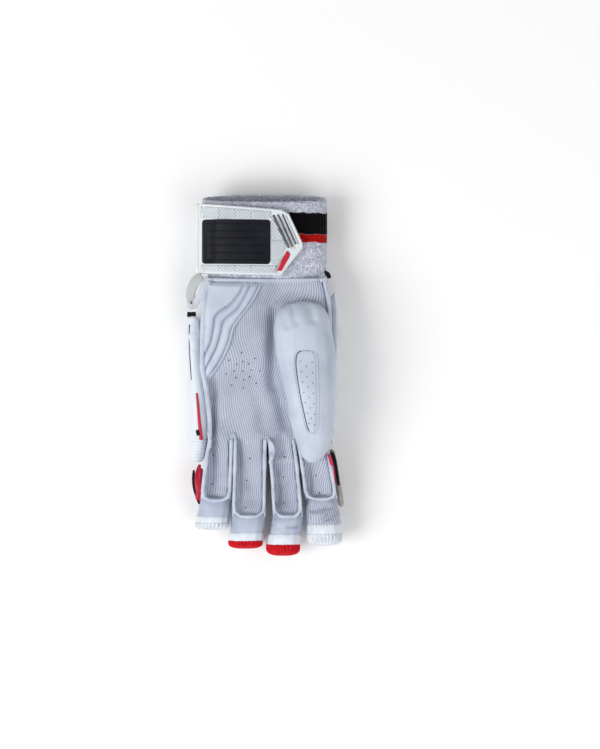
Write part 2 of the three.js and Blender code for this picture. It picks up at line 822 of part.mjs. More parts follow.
function thumbPatch() {
  const rows = steps(8).map((t) => {
    const first = thumbPatchRows[0].along;
    const last = thumbPatchRows[thumbPatchRows.length - 1].along;
    const place = mix(first, last, t ** 1.2);
    const { y, left, right, rise } = thumbAt(place);
    const half = thumbWidth * at(thumbPatchRows, "half", place);
    const middle = (left + right) / 2 + 0.02 * thumbWidth;
    const wide = (right - left) / 2;
    const outer = steps(4).map((u) => {
      const x = middle + half * (2 * u - 1);
      const side = (x - (left + right) / 2) / wide;
      const dome = (1 - Math.abs(side) ** 2.4) ** (1 / 2.2);
      const z = thumbFoot + leatherWall + gap + rise * dome + gap + thumbPatchWall;
      return new THREE.Vector3(x, y, z);
    });
    const inner = outer.map((p) => p.clone().setZ(p.z - thumbPatchWall - 2 * gap));
    return { outer, inner };
  });
  return cut(loftWall(rows), thumbDome(gap, 4 * leatherWall));
}

// The padded bar that guards the thumb side
function thumbGuard() {
  const from = palmLength * 0.93;
  const to = palmLength * guardEnd;
  const sideAt = (y) => {
    const { right } = palmAt(y / palmLength);
    const outer = right + shellBulge * palmWidth + 2 * gap;
    return [outer, outer + guardWidth];
  };
  return pad(to, from, sideAt, heightAt(0.1), heightAt(0.93), 2.6, 4);
}

// The heel pad: bands swell between its edges and channels.
function heelPad() {
  const rows = [0, 0.12, 0.25, 0.37, 0.5, 0.62, 0.75, 0.87, 1].map((along) => {
    const line = (n) => {
      const y = palmLength * at(heelRows, "y" + n, along);
      const edge = palmAt(y / palmLength).left + sheetInset + gap;
      const x = n === 0 ? edge : Math.max(palmWidth * at(heelRows, "x" + n, along), edge + n * gap);
      return new THREE.Vector2(x, y);
    };
    const low = 0.35;
    const outer = [];
    [0, 1, 2].forEach((n) => {
      [0, 0.18, 0.5, 0.82].forEach((t) => {
        const p = line(n).lerp(line(n + 1), t);
        const swell = t === 0 ? low : 1;
        outer.push(new THREE.Vector3(p.x, p.y, surfaceOf(p) + gap + heelWall * swell));
      });
    });
    const end = line(3);
    outer.push(new THREE.Vector3(end.x, end.y, surfaceOf(end) + gap + heelWall * low));
    const inner = outer.map((p) => p.clone().setZ(surfaceOf(p) - leatherWall));
    return { outer, inner };
  });
  return cut(loftWall(rows), palmSheet(gap, handDepth / 2, sheetInset));
}

// Height of the palm's surface at a point
function surfaceOf({ x, y }) {
  const { left, right, topAt } = palmAt(y / palmLength);
  return topAt(Math.min(Math.max((x - left) / (right - left), 0), 1));
}

// Cuff, strap and plate
piece("wrist_cuff", cuff(), knitWhite, 0.95);
piece("wrist_strap", strap(), plateWhite, 0.6);
const inlays = [panelPlace, stripePlace(0), stripePlace(1), stripePlace(2), barPlace];
const slots = inlays.map((place) => inlay(place, 1.5 * gap, inlayFloor - gap, plateWall + 2, 6));
piece("strap_patch", cut(plateBody(), ...slots), plateWhite, 0.45);
piece("patch_panel", panel(), inkBlack, 0.45);
[0, 1, 2].forEach((n) => {
  const stripe = inlay(stripePlace(n), 0, inlayFloor, plateWall + inlayProud, 4);
  piece("patch_stripe_" + (n + 1), stripe, 0x4b4f57, 0.5);
});
piece("patch_bar", inlay(barPlace, 0, inlayFloor, plateWall + inlayProud, 4), clubRed, 0.45);
piece("pull_loop", pullLoop(), tapeGrey, 0.85);

// Palm side
const palm = joined([palmSheet(0, leatherWall, 2 * rimRadius + gap), ...fingers.map(fingerSheet)]);
piece("palm_leather", cut(palm, thumbPassage()), leatherWhite);
piece("heel_pad", heelPad(), leatherWhite, 0.6);
piece("palm_rim_little", palmRim(-1), leatherWhite);
piece("palm_rim_thumb", palmRim(1), leatherWhite);
piece("hand_shell", handShell(), paddingWhite);

// Fingers
fingers.forEach((finger) => {
  const { name, wrap, band } = finger;
  piece("finger_shell_" + name, fingerShell(finger), paddingWhite);
  piece("finger_rim_" + name, fingerRim(finger), leatherWhite);
  piece("tip_wrap_" + name, tipSleeve(finger, gap, wrap, 0, 0.5), leatherWhite, 0.6);
  piece("tip_band_" + name, tipSleeve(finger, wrap + gap, wrap + band, gap, 0.3), paddingWhite, 0.6);
  piece("tip_cap_" + name, tipCap(finger), finger.colour, 0.85);
});

// The side of a finger, from its root to its cap
function fingerSide(finger, y, sign) {
  const share = Math.min(Math.max(-y / finger.front, 0), 1);
  const { front, wrap, band } = finger;
  const past = Math.min(Math.max(-y - front, 0) / (wrap + band), 1);
  const root = mix(finger.root, finger.end, share ** 0.8);
  const width = mix(finger.rootWidth, finger.endWidth, share ** 0.7);
  const centre = mix(root, finger.cap, past);
  const half = mix(width, finger.capWidth, past) / 2;
  return palmWidth * (centre + sign * half);
}

// Pads under the fingers
fingers.forEach((finger) => {
  const sideAt = (y) => [-1, 1].map((sign) => fingerSide(finger, y, sign) - 2 * gap * sign);
  const middle = -finger.front / 2;
  const top = (place) => heightAt(at(fingerRows, "base", place)) - gap;
  const near = pad(middle + padGap / 2, -webDepth - padGap / 2, sideAt, 0, top(0.5));
  const far = pad(-finger.front, middle - padGap / 2, sideAt, 0, top(1));
  piece("finger_roll_" + finger.name + "_1", near, paddingWhite);
  piece("finger_roll_" + finger.name + "_2", far, paddingWhite);
});

// Pads under the hand
const backRows = [
  { name: "knuckle_pad", from: 0, to: 0.25, split: [0, 0.22, 0.5, 0.75, 1] },
  { name: "back_pad", from: 0.25, to: 0.55, split: [0, 0.36, 0.68, 1] },
  { name: "hand_pad", from: 0.55, to: 0.82, split: [0, 0.5, 1] },
];
backRows.forEach(({ name, from, to, split }) => {
  split.slice(1).forEach((right, n) => {
    const left = split[n];
    const sideAt = (y) => {
      const edges = palmAt(y / palmLength);
      const inner = (share) => mix(edges.left, edges.right, share);
      return [inner(left) + padGap / 2, inner(right) - padGap / 2];
    };
    const low = palmLength * from + padGap / 2;
    const high = palmLength * to - padGap / 2;
    const top = (y) => {
      const [a, b] = sideAt(y);
      const inner = (a + b) / 2 - padSeat * Math.sign(a + b) * ((b - a) / 2);
      return shellFloor(a * b < 0 ? 0 : inner, y) - gap;
    };
    piece(name + "_" + (n + 1), pad(low, high, sideAt, 0, top, 5), paddingWhite);
  });
});
const tapeFrom = palmLength * 0.84;
const tapeSides = (y) => {
  const { left, right } = palmAt(y / palmLength);
  return [mix(left, right, 0.12), mix(left, right, 0.88)];
};
const tapeTop = (y) => shellFloor(0, y) - 2 * gap;
piece("wrist_tape", pad(tapeFrom, tapeFrom + tapeLength, tapeSides, 0, tapeTop, 5, 3), inkBlack);

// Rolls and guard at the sides
const littleSide = (y) => {
  const edge = y > 0
    ? palmAt(y / palmLength).left - shellBulge * palmWidth
    : fingerSide(fingers[0], y, -1);
  const lean = Math.min(Math.max((y / palmLength - 0.4) / 0.3, 0), 1);
  return [-palmWidth / 2 - sidePadWidth - sidePadLean * lean, edge - 1.5 * gap];
};
const indexSide = (y) => {
  const edge = fingerSide(fingers[3], y, 1) + 0.5 * gap;
  return [edge, edge + indexRollWidth];
};
const sidePadEnd = -0.17 * palmLength;
const sidePad = pad(sidePadEnd, 0.78 * palmLength, littleSide, 0.3 * padHeight, heightAt(0.8), 3.2, 6);
piece("side_pad_little", sidePad, paddingWhite);
const indexLow = -fingers[3].front - 0.35 * fingers[3].wrap;
const indexHigh = palmLength * guardEnd - padGap;
const indexRoll = pad(indexLow, indexHigh, indexSide, 0.4 * padHeight, heightAt(0.62), 3.2, 3);
piece("side_roll_index", indexRoll, paddingWhite);
const littleStrip = (y) => {
  const wall = fingerSide(fingers[0], y, -1) - gap;
  return [wall - sideStripWall, wall];
};
const strip = pad(-fingers[0].front, sidePadEnd - padGap, littleStrip, padHeight, heightAt(0.7));
piece("side_strip_little", strip, clubRed);

// Thumb
const passage = thumbPassage();
piece("thumb_front", thumbDome(0, leatherWall), leatherWhite, 0.6);
piece("thumb_back", cut(thumbFloor(), passage), leatherWhite);
piece("thumb_patch", thumbPatch(), leatherWhite, 0.6);
piece("thumb_guard", thumbGuard(), paddingWhite);

// The origin is the middle of the glove's footprint
const box = new THREE.Box3().setFromObject(group);
const middle = box.getCenter(new THREE.Vector3());
group.position.set(-middle.x, -middle.y, -box.min.z);

export default group;
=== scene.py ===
import json
import math
import random

import bmesh
import bpy
import numpy as np
from mathutils import Matrix, Vector, noise
from mathutils.bvhtree import BVHTree

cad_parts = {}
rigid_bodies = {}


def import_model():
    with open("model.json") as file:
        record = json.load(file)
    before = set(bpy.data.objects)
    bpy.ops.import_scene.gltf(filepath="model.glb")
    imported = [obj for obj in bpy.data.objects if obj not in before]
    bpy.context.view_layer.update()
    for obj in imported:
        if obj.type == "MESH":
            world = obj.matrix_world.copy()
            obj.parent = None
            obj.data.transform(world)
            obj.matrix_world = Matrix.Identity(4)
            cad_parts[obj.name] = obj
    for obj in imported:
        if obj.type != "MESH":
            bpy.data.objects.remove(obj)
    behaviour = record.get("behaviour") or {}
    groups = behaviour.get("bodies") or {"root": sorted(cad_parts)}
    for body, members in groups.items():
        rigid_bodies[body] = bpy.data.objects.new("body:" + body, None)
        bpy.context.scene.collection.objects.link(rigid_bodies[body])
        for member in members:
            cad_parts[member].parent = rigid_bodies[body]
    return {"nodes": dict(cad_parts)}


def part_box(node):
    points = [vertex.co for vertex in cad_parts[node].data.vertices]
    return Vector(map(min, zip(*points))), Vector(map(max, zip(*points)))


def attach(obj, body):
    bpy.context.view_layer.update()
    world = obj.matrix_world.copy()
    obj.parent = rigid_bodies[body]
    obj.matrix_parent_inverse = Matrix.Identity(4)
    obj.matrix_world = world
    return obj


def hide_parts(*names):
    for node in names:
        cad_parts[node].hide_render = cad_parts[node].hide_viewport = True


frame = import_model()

mm = 0.001
scene = bpy.context.scene
cadNodes = frame["nodes"]
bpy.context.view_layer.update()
draws = random.Random(21)
fingerNames = ["little", "ring", "middle", "index"]
print("frame loaded:", len(cadNodes), "nodes")


# Meshes

def meshOf(build, name="work"):
    mesh = bpy.data.meshes.new(name)
    build.to_mesh(mesh)
    build.free()
    return mesh


def solidMesh(node):
    # A copy of a solid's mesh with the corners of its facets joined.
    build = bmesh.new()
    build.from_mesh(cadNodes[node].data)
    bmesh.ops.remove_doubles(build, verts=build.verts, dist=0.01 * mm)
    return meshOf(build)


def finishedMesh(work):
    # The mesh that an object's curve or modifiers give. The object isn't kept.
    scene.collection.objects.link(work)
    mesh = bpy.data.meshes.new_from_object(work.evaluated_get(bpy.context.evaluated_depsgraph_get()))
    bpy.data.objects.remove(work)
    return mesh


def withModifiers(mesh, *modifiers):
    work = bpy.data.objects.new("work", mesh)
    for kind, settings in modifiers:
        modifier = work.modifiers.new(kind.lower(), kind)
        for key, value in settings.items():
            setattr(modifier, key, value)
    done = finishedMesh(work)
    bpy.data.meshes.remove(mesh)
    return done


def smoothed(mesh, rounds, onlyHeights=False):
    build = bmesh.new()
    build.from_mesh(mesh)
    aside = not onlyHeights
    for _ in range(rounds):
        bmesh.ops.smooth_vert(
            build, verts=build.verts, factor=0.5, use_axis_x=aside, use_axis_y=aside, use_axis_z=True)
    build.to_mesh(mesh)
    build.free()
    return mesh


def remeshed(mesh, voxel, rounds=0):
    mesh = withModifiers(mesh, ("REMESH", {"mode": "VOXEL", "voxel_size": voxel * mm}))
    return smoothed(mesh, rounds) if rounds else mesh


def vertexValues(mesh, key):
    found = np.zeros(len(mesh.vertices) * 3)
    mesh.vertices.foreach_get(key, found)
    return found.reshape(-1, 3)


def places(mesh):
    # Every vertex in millimetres.
    return vertexValues(mesh, "co") / mm


def normals(mesh):
    return vertexValues(mesh, "normal")


def moveTo(mesh, points):
    mesh.vertices.foreach_set("co", (points * mm).ravel())
    mesh.update()


def wander(points, size, seed=0.0):
    # Soft noise from -1 to 1 at each point, with bumps of the given size in millimetres.
    return np.array([noise.noise(Vector(p) / size + Vector((seed, seed, seed))) for p in points])


def newPiece(name, mesh, finish, standsFor=()):
    # Adds a piece to the part, painted, and hides the solids that it stands for.
    mesh.name = name
    mesh.shade_smooth()
    mesh.materials.clear()
    mesh.materials.append(finishes[finish])
    piece = bpy.data.objects.new(name, mesh)
    scene.collection.objects.link(piece)
    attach(piece, "root")
    if standsFor:
        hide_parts(*standsFor)


def smoothLine(points, count):
    # Points at even steps along a smooth line through the given ones.
    ends = [points[0]] + list(points) + [points[-1]]
    line = []
    for i in range(count + 1):
        along = i / count * (len(points) - 1)
        k = min(int(along), len(points) - 2)
        t = along - k
        a, b, c, d = (np.array(p, float) for p in ends[k:k + 4])
        line.append(0.5 * (2 * b + (c - a) * t + (2 * a - 5 * b + 4 * c - d) * t * t
                           + (3 * b - a - 3 * c + d) * t ** 3))
    return np.array(line)


def pipeMesh(points, radius, taper, resolution):
    # A round piping through points in millimetres, thinner by taper over the last eighth at each end.
    curve = bpy.data.curves.new("work", "CURVE")
    curve.dimensions = "3D"
    curve.bevel_depth = radius * mm
    curve.bevel_resolution = resolution
    curve.use_fill_caps = True
    spline = curve.splines.new("POLY")
    spline.points.add(len(points) - 1)
    for i, point in enumerate(points):
        spline.points[i].co = (*[c * mm for c in point], 1)
        edge = min(i, len(points) - 1 - i) / max(0.12 * len(points), 1)
        spline.points[i].radius = 1 - taper * (1 - min(edge, 1)) ** 2
    return finishedMesh(bpy.data.objects.new("work", curve))


def joinedMesh(meshes):
    build = bmesh.new()
    for mesh in meshes:
        build.from_mesh(mesh)
        bpy.data.meshes.remove(mesh)
    return meshOf(build)


def gridOf(across, down):
    # A grid one unit wide and tall, whose vertices are then laid out.
    build = bmesh.new()
    bmesh.ops.create_grid(build, x_segments=across, y_segments=down, size=0.5)
    return build


def rimOf(build):
    return [e for e in build.edges if e.is_boundary]


def skirtOf(build):
    # Draws the open rim out once more and gives its new vertices.
    made = bmesh.ops.extrude_edge_only(build, edges=rimOf(build))["geom"]
    return [g for g in made if isinstance(g, bmesh.types.BMVert)]


def closedMesh(build):
    bmesh.ops.edgeloop_fill(build, edges=rimOf(build))
    bmesh.ops.recalc_face_normals(build, faces=build.faces)
    return meshOf(build)


def pegsMesh(spots, radius, depth, sides, topRadius=None):
    # Upright round pegs with their middles at places in millimetres.
    build = bmesh.new()
    for spot in spots:
        bmesh.ops.create_cone(
            build, cap_ends=True, segments=sides, radius1=radius * mm, radius2=(topRadius or radius) * mm,
            depth=depth * mm, matrix=Matrix.Translation(Vector(spot) * mm),
        )
    return meshOf(build)


def treeOf(*meshes):
    build = bmesh.new()
    for mesh in meshes:
        build.from_mesh(mesh)
    tree = BVHTree.FromBMesh(build)
    build.free()
    return tree


def topOf(tree, x, y, otherwise=0.0):
    # Height of a surface over a place, or another height where there is none.
    hit = tree.ray_cast(Vector((x * mm, y * mm, 1)), Vector((0, 0, -1)))[0]
    return hit.z / mm if hit else otherwise


def onTop(tree, line, lift=0.0):
    return np.array([(x, y, topOf(tree, x, y) + lift) for x, y in line[:, :2]])


def evened(heights, reach):
    # Heights along a line, each the mean of its neighbours.
    count = 2 * reach + 1
    return np.convolve(np.pad(heights, reach, mode="edge"), np.ones(count) / count, mode="valid")


# Materials

def toLinear(colour):
    parts = [int(colour[i:i + 2], 16) / 255 for i in (1, 3, 5)]
    return (*[c / 12.92 if c <= 0.04045 else ((c + 0.055) / 1.055) ** 2.4 for c in parts], 1)


def perMetre(size):
    return 1000 / size


def addNode(tree, kind, inputs=None, output=0, **settings):
    node = tree.nodes.new(kind)
    for key, value in settings.items():
        setattr(node, key, value)
    for key, value in (inputs or {}).items():
        if isinstance(value, bpy.types.NodeSocket):
            tree.links.new(value, node.inputs[key])
        else:
            node.inputs[key].default_value = value
    return node.outputs[output]


def newMaterial(name, **values):
    material = bpy.data.materials.new(name)
    material.use_nodes = True
    tree = material.node_tree
    shader = tree.nodes["Principled BSDF"]
    for key, value in values.items():
        shader.inputs[key.replace("_", " ")].default_value = value
    place = addNode(tree, "ShaderNodeTexCoord", output="Object")
    return material, tree, shader, place


def mixColour(tree, share, low, high):
    picks = [toLinear(c) if isinstance(c, str) else c for c in (low, high)]
    return addNode(tree, "ShaderNodeMix", {0: share, 6: picks[0], 7: picks[1]}, 2, data_type="RGBA")


def ramp(tree, value, low, high, start=0.0, end=1.0):
    settings = {"Value": value, "From Min": low, "From Max": high, "To Min": start, "To Max": end}
    return addNode(tree, "ShaderNodeMapRange", settings)


def maths(tree, operation, a, b=0.0):
    return addNode(tree, "ShaderNodeMath", {0: a, 1: b}, operation=operation)


def plus(tree, a, b):
    return maths(tree, "ADD", a, b)


def times(tree, a, b):
    return maths(tree, "MULTIPLY", a, b)


def axisOf(tree, place, axis):
    return addNode(tree, "ShaderNodeSeparateXYZ", {0: place}, axis)


def noiseAt(tree, place, size, detail, **more):
    # Soft noise, with its size in millimetres.
    inputs = {"Vector": place, "Scale": perMetre(size), "Detail": detail, **more}
    return addNode(tree, "ShaderNodeTexNoise", inputs)


def cellsAt(tree, place, size, feature="F1"):
    # Distance from the middle of the nearest cell, with the cells' size in millimetres.
    return addNode(tree, "ShaderNodeTexVoronoi", {"Vector": place, "Scale": perMetre(size)}, feature=feature)


def dress(tree, shader, colour, height, depth, roughness=None):
    # Joins the shader to a colour, a height with its depth in millimetres, and a roughness.
    tree.links.new(colour, shader.inputs["Base Color"])
    bump = addNode(tree, "ShaderNodeBump", {"Height": height, "Distance": depth * mm, "Strength": 1.0})
    tree.links.new(bump, shader.inputs["Normal"])
    if roughness is not None:
        tree.links.new(roughness, shader.inputs["Roughness"])


def grainedLeather():
    # Pebbled goat leather: pimples in wavy rows along the hand, so that the skin looks combed, with painted
    # shade in the grooves between them and large darker patches that are partly stains and partly painted
    # shade.
    look = {"top": "#C9CEDE", "grooveShade": "#7C849E", "stainAndShade": "#AFB5C5", "stainAndShadeSize": 26.0, "rowPitch": 1.75,
            "dotPitch": 1.7, "swirl": 26.0, "swirlSize": 34.0, "stretch": (0.55, 1.0, 0.2), "rows": 0.72,
            "dots": 0.28, "depth": 0.3}
    material, tree, shader, place = newMaterial("pebbled goat leather", Roughness=0.62, Sheen_Weight=0.08)
    pulled = addNode(tree, "ShaderNodeMapping", {"Vector": place, "Scale": look["stretch"]})
    swirl = noiseAt(tree, pulled, look["swirlSize"], 0.0)
    across = plus(tree, axisOf(tree, place, "X"), times(tree, swirl, look["swirl"] * mm))
    turns = times(tree, across, math.tau * perMetre(look["rowPitch"]))
    along = times(tree, axisOf(tree, place, "Y"), math.tau * perMetre(look["dotPitch"]))
    rows = times(tree, maths(tree, "SINE", turns), look["rows"])
    dots = times(tree, maths(tree, "SINE", plus(tree, along, times(tree, turns, 0.5))), look["dots"])
    pebble = ramp(tree, plus(tree, rows, dots), -0.7, 0.8)
    # Large darker patches at random: partly stains on the leather, partly painted shade standing in for soft
    # shading across the palm.
    stainAndShadeNoise = noiseAt(tree, place, look["stainAndShadeSize"], 3.0)
    skin = mixColour(tree, ramp(tree, stainAndShadeNoise, 0.42, 0.68, 0.0, 0.8), look["top"], look["stainAndShade"])
    # Painted shade: the grooves between the pimples are coloured darker.
    colour = mixColour(tree, ramp(tree, pebble, 0.0, 0.75, 0.75, 0.0), skin, look["grooveShade"])
    dress(tree, shader, colour, pebble, look["depth"])
    return material


def smoothLeather(name="smooth sheep leather", skin="#C5CDDD", worn="#ACB5C8"):
    # Smooth sheep leather: a fine hair-cell grain and a low sheen, with greyer, duller patches.
    look = {"wornSize": 22.0, "grain": 0.9, "depth": 0.06}
    material, tree, shader, place = newMaterial(name, Roughness=0.5, Sheen_Weight=0.1)
    wear = noiseAt(tree, place, look["wornSize"], 4.0)
    cells = cellsAt(tree, place, look["grain"], "SMOOTH_F1")
    colour = mixColour(tree, ramp(tree, wear, 0.42, 0.75, 0.0, 0.8), skin, worn)
    dress(tree, shader, colour, cells, look["depth"], ramp(tree, wear, 0.3, 0.8, 0.44, 0.6))
    return material


def pipingLeather():
    # Turned and glued leather edge: smooth, with duller spots.
    look = {"skin": "#C6CDDC", "dull": "#AEB7CA", "size": 9.0, "grain": 0.7, "depth": 0.07}
    material, tree, shader, place = newMaterial("turned leather edge", Roughness=0.5)
    spots = noiseAt(tree, place, look["size"], 3.0)
    colour = mixColour(tree, ramp(tree, spots, 0.4, 0.7), look["skin"], look["dull"])
    dress(tree, shader, colour, noiseAt(tree, place, look["grain"], 2.0), look["depth"])
    return material


def paddingLeather(name="coated padding leather", skin="#DDE3EC", crease="#C9D0DC"):
    # Coated split leather over foam: even, with a fine printed grain and faint creases.
    look = {"creaseSize": 20.0, "grain": 0.8, "depth": 0.05}
    material, tree, shader, place = newMaterial(name, Roughness=0.42)
    folds = noiseAt(tree, place, look["creaseSize"], 5.0, Distortion=1.2)
    cells = cellsAt(tree, place, look["grain"], "SMOOTH_F1")
    colour = mixColour(tree, ramp(tree, folds, 0.5, 0.78), skin, crease)
    height = plus(tree, times(tree, cells, 0.5), times(tree, folds, 0.8))
    dress(tree, shader, colour, height, look["depth"], ramp(tree, folds, 0.3, 0.8, 0.38, 0.55))
    return material


def shellLeather():
    # White coated leather walls, and a dark spacer mesh on the back of the hand, seen between the pads.
    look = {"skin": "#D3D9E3", "dull": "#BCC3CF", "mesh": "#33343B", "hole": "#0C0C10", "meshTop": 14.2,
            "meshPitch": 1.6, "size": 18.0, "depth": 0.12}
    material, tree, shader, place = newMaterial("coated leather and spacer mesh", Roughness=0.5)
    spots = noiseAt(tree, place, look["size"], 3.0)
    cells = cellsAt(tree, place, look["meshPitch"])
    skin = mixColour(tree, ramp(tree, spots, 0.42, 0.7), look["skin"], look["dull"])
    mesh = mixColour(tree, ramp(tree, cells, 0.25, 0.5), look["hole"], look["mesh"])
    high = ramp(tree, axisOf(tree, place, "Z"), (look["meshTop"] - 0.4) * mm, look["meshTop"] * mm)
    dress(tree, shader, mixColour(tree, high, mesh, skin), cells, look["depth"])
    return material


def terryKnit():
    # Terry wrist knit: short cotton loops, fuzzy and speckled, with painted shade between the loops, and a
    # red and a black band knitted in.
    look = {"top": "#F0F2FA", "between": "#9EA3B7", "loop": 1.5, "tuft": 4.0, "slant": 0.012, "ripple": 0.22,
            "ripplePitch": 1.9, "straySize": 6.0, "stray": 0.9, "soft": 0.3, "rib": 0.12, "depth": 0.65,
            "bands": [(98.2, 104.4, "#B5110D"), (104.4, 120.2, "#060508")]}
    material, tree, shader, place = newMaterial(
        "terry cotton knit", Roughness=0.95, Sheen_Weight=0.04, Specular_IOR_Level=0.12)
    across = axisOf(tree, place, "X")
    loops = cellsAt(tree, place, look["loop"], "SMOOTH_F1")
    fuzz = noiseAt(tree, place, 0.8 * look["loop"], 2.0)
    pile = ramp(tree, plus(tree, loops, times(tree, fuzz, 0.6)), 0.35, 1.1, 1.0, 0.0)
    wave = maths(tree, "SINE", times(tree, across, math.tau * perMetre(look["ripplePitch"])))
    stray = ramp(tree, noiseAt(tree, place, look["straySize"], 3.0), 0.2, 0.8, -look["stray"] * mm,
                 look["stray"] * mm)
    edge = plus(tree, axisOf(tree, place, "Y"), times(tree, wave, look["ripple"] * mm))
    edge = plus(tree, plus(tree, edge, stray), times(tree, across, look["slant"]))
    tufts = ramp(tree, noiseAt(tree, place, look["tuft"], 4.0), 0.35, 0.62, 0.45, 1.0)
    # Painted shade: the ground between the loops takes the darker colour, and the loop tops take the lighter
    # one.
    colour = mixColour(tree, times(tree, pile, tufts), look["between"], look["top"])
    soft = look["soft"] * mm
    for low, high, yarn in look["bands"]:
        above = ramp(tree, edge, low * mm - soft, low * mm + soft)
        below = ramp(tree, edge, high * mm - soft, high * mm + soft, 1.0, 0.0)
        # Painted shade and painted highlight: each band's yarn is darker between the loops and brighter on
        # their tops.
        shade = {"Value": ramp(tree, pile, 0.0, 1.0, 0.45, 1.25), "Color": toLinear(yarn)}
        band = addNode(tree, "ShaderNodeHueSaturation", shade)
        colour = mixColour(tree, times(tree, above, below), colour, band)
    dress(tree, shader, colour, plus(tree, pile, times(tree, wave, look["rib"])), look["depth"])
    return material


def mouldedRubber(name, colour, dull, roughness=0.42, gloss=0.4):
    # Moulded rubber: an even colour with a satin face and a faint orange peel from the mould.
    look = {"haze": 16.0, "peel": 0.8, "depth": 0.04}
    material, tree, shader, place = newMaterial(name, Roughness=roughness, Specular_IOR_Level=gloss)
    haze = noiseAt(tree, place, look["haze"], 4.0)
    mixed = mixColour(tree, ramp(tree, haze, 0.45, 0.75), colour, dull)
    satin = ramp(tree, haze, 0.3, 0.8, roughness - 0.06, roughness + 0.12)
    dress(tree, shader, mixed, noiseAt(tree, place, look["peel"], 1.0), look["depth"], satin)
    return material


def wovenTape(name, colour, gapShadeColour, pitch=1.4):
    # Woven nylon tape: diagonal ribs, drawn about twice as coarse as real so that they show, with painted
    # shade in the gaps between them.
    look = {"spots": 7.0, "depth": 0.15, "waves": 0.36}
    material, tree, shader, place = newMaterial(name, Roughness=0.72)
    ribs = {"Vector": place, "Scale": look["waves"] * perMetre(pitch), "Distortion": 0.15, "Detail": 1.0,
            "Detail Scale": 2.0}
    weave = addNode(tree, "ShaderNodeTexWave", ribs, "Fac", wave_type="BANDS", bands_direction="DIAGONAL")
    share = times(tree, weave, ramp(tree, noiseAt(tree, place, look["spots"], 3.0), 0.3, 0.7, 0.6, 1.0))
    dress(tree, shader, mixColour(tree, share, gapShadeColour, colour), weave, look["depth"])
    return material


def pleatedFabric(name, colour, fold):
    # Gathered stretch fabric over a padded cap: matt, a fine knit with darker spots.
    look = {"knit": 0.9, "spots": 4.0, "depth": 0.1}
    material, tree, shader, place = newMaterial(
        name, Roughness=0.85, Sheen_Weight=0.05, Specular_IOR_Level=0.2)
    knit = cellsAt(tree, place, look["knit"])
    spots = ramp(tree, noiseAt(tree, place, look["spots"], 3.0), 0.35, 0.65, 0.3, 1.0)
    share = times(tree, ramp(tree, knit, 0.0, 0.8), spots)
    dress(tree, shader, mixColour(tree, share, colour, fold), knit, look["depth"])
    return material


def stripedTape():
    # Coated wrist panel with printed black and grey stripes and dark red lines between them.
    look = {"black": "#17181F", "grey": "#8B8E96", "red": "#7E1420", "soft": 0.1, "grain": 0.8, "depth": 0.08,
            "stripes": [(52.5, "black"), (57.0, "red"), (58.0, "grey"), (63.5, "red"), (64.5, "black"),
                        (69.0, "red")]}
    material, tree, shader, place = newMaterial("striped coated fabric", Roughness=0.5)
    along = axisOf(tree, place, "Y")
    colour = toLinear(look["red"])
    for edge, field in look["stripes"]:
        past = ramp(tree, along, (edge - look["soft"]) * mm, (edge + look["soft"]) * mm)
        colour = mixColour(tree, past, colour, look[field])
    dress(tree, shader, colour, cellsAt(tree, place, look["grain"]), look["depth"])
    return material


def thread(name, colour, dull):
    # Twisted polyester thread: small and slightly shiny, a little uneven in colour.
    look = {"twist": 0.5, "depth": 0.05}
    material, tree, shader, place = newMaterial(name, Roughness=0.55)
    twist = noiseAt(tree, place, look["twist"], 1.0)
    dress(tree, shader, mixColour(tree, ramp(tree, twist, 0.4, 0.6), colour, dull), twist, look["depth"])
    return material


finishes = {
    "grained": grainedLeather(),
    "smooth": smoothLeather(),
    "wrapped": smoothLeather("smooth leather of the finger ends", "#B5BED0", "#9BA5B9"),
    "piping": pipingLeather(),
    "padding": paddingLeather(),
    "shell": shellLeather(),
    "knit": terryKnit(),
    "plate": mouldedRubber("white moulded rubber", "#E2E7EA", "#D3D9DE"),
    "field": mouldedRubber("shaded ground between moulded ribs", "#B6BDC4", "#A8AFB7"),
    "black": mouldedRubber("black moulded rubber", "#10121A", "#171A23", 0.48, 0.16),
    "grey": mouldedRubber("grey moulded rubber", "#4B4F57", "#5A5E66"),
    "red": mouldedRubber("red moulded rubber", "#CC1133", "#B80F2C"),
    "webbing": wovenTape("white woven webbing", "#E6E9EE", "#B4B9C4"),
    # Painted shade: a greyer copy of the white webbing, for the loop's back ply where it lies in shade.
    "loop": wovenTape("white woven tape in painted shade", "#CDD2D3", "#A4AAAC", 1.1),
    "capRed": pleatedFabric("red gathered fabric", "#DA0F22", "#A30A18"),
    "capWhite": pleatedFabric("white gathered fabric", "#E8EDF2", "#BFC7D2"),
    # Painted shade: a grey-beige copy of the padding leather, for the index side roll, which is white but
    # lies in shade.
    "shadedSideRoll": paddingLeather("white coated leather in painted shade", "#A39E9A", "#8B8682"),
    "tape": stripedTape(),
    "redCord": paddingLeather("red coated leather", "#C00F34", "#8C0C26"),
    "darkThread": thread("dark polyester thread", "#595E70", "#3A3E4C"),
    # Painted shade: a near-black stand-in for the shade inside holes and forks.
    "hole": thread("painted shade in holes and forks", "#1B1B22", "#0E0E14"),
}
print("materials made:", len(finishes))


# Soft pieces that keep the form of their solid

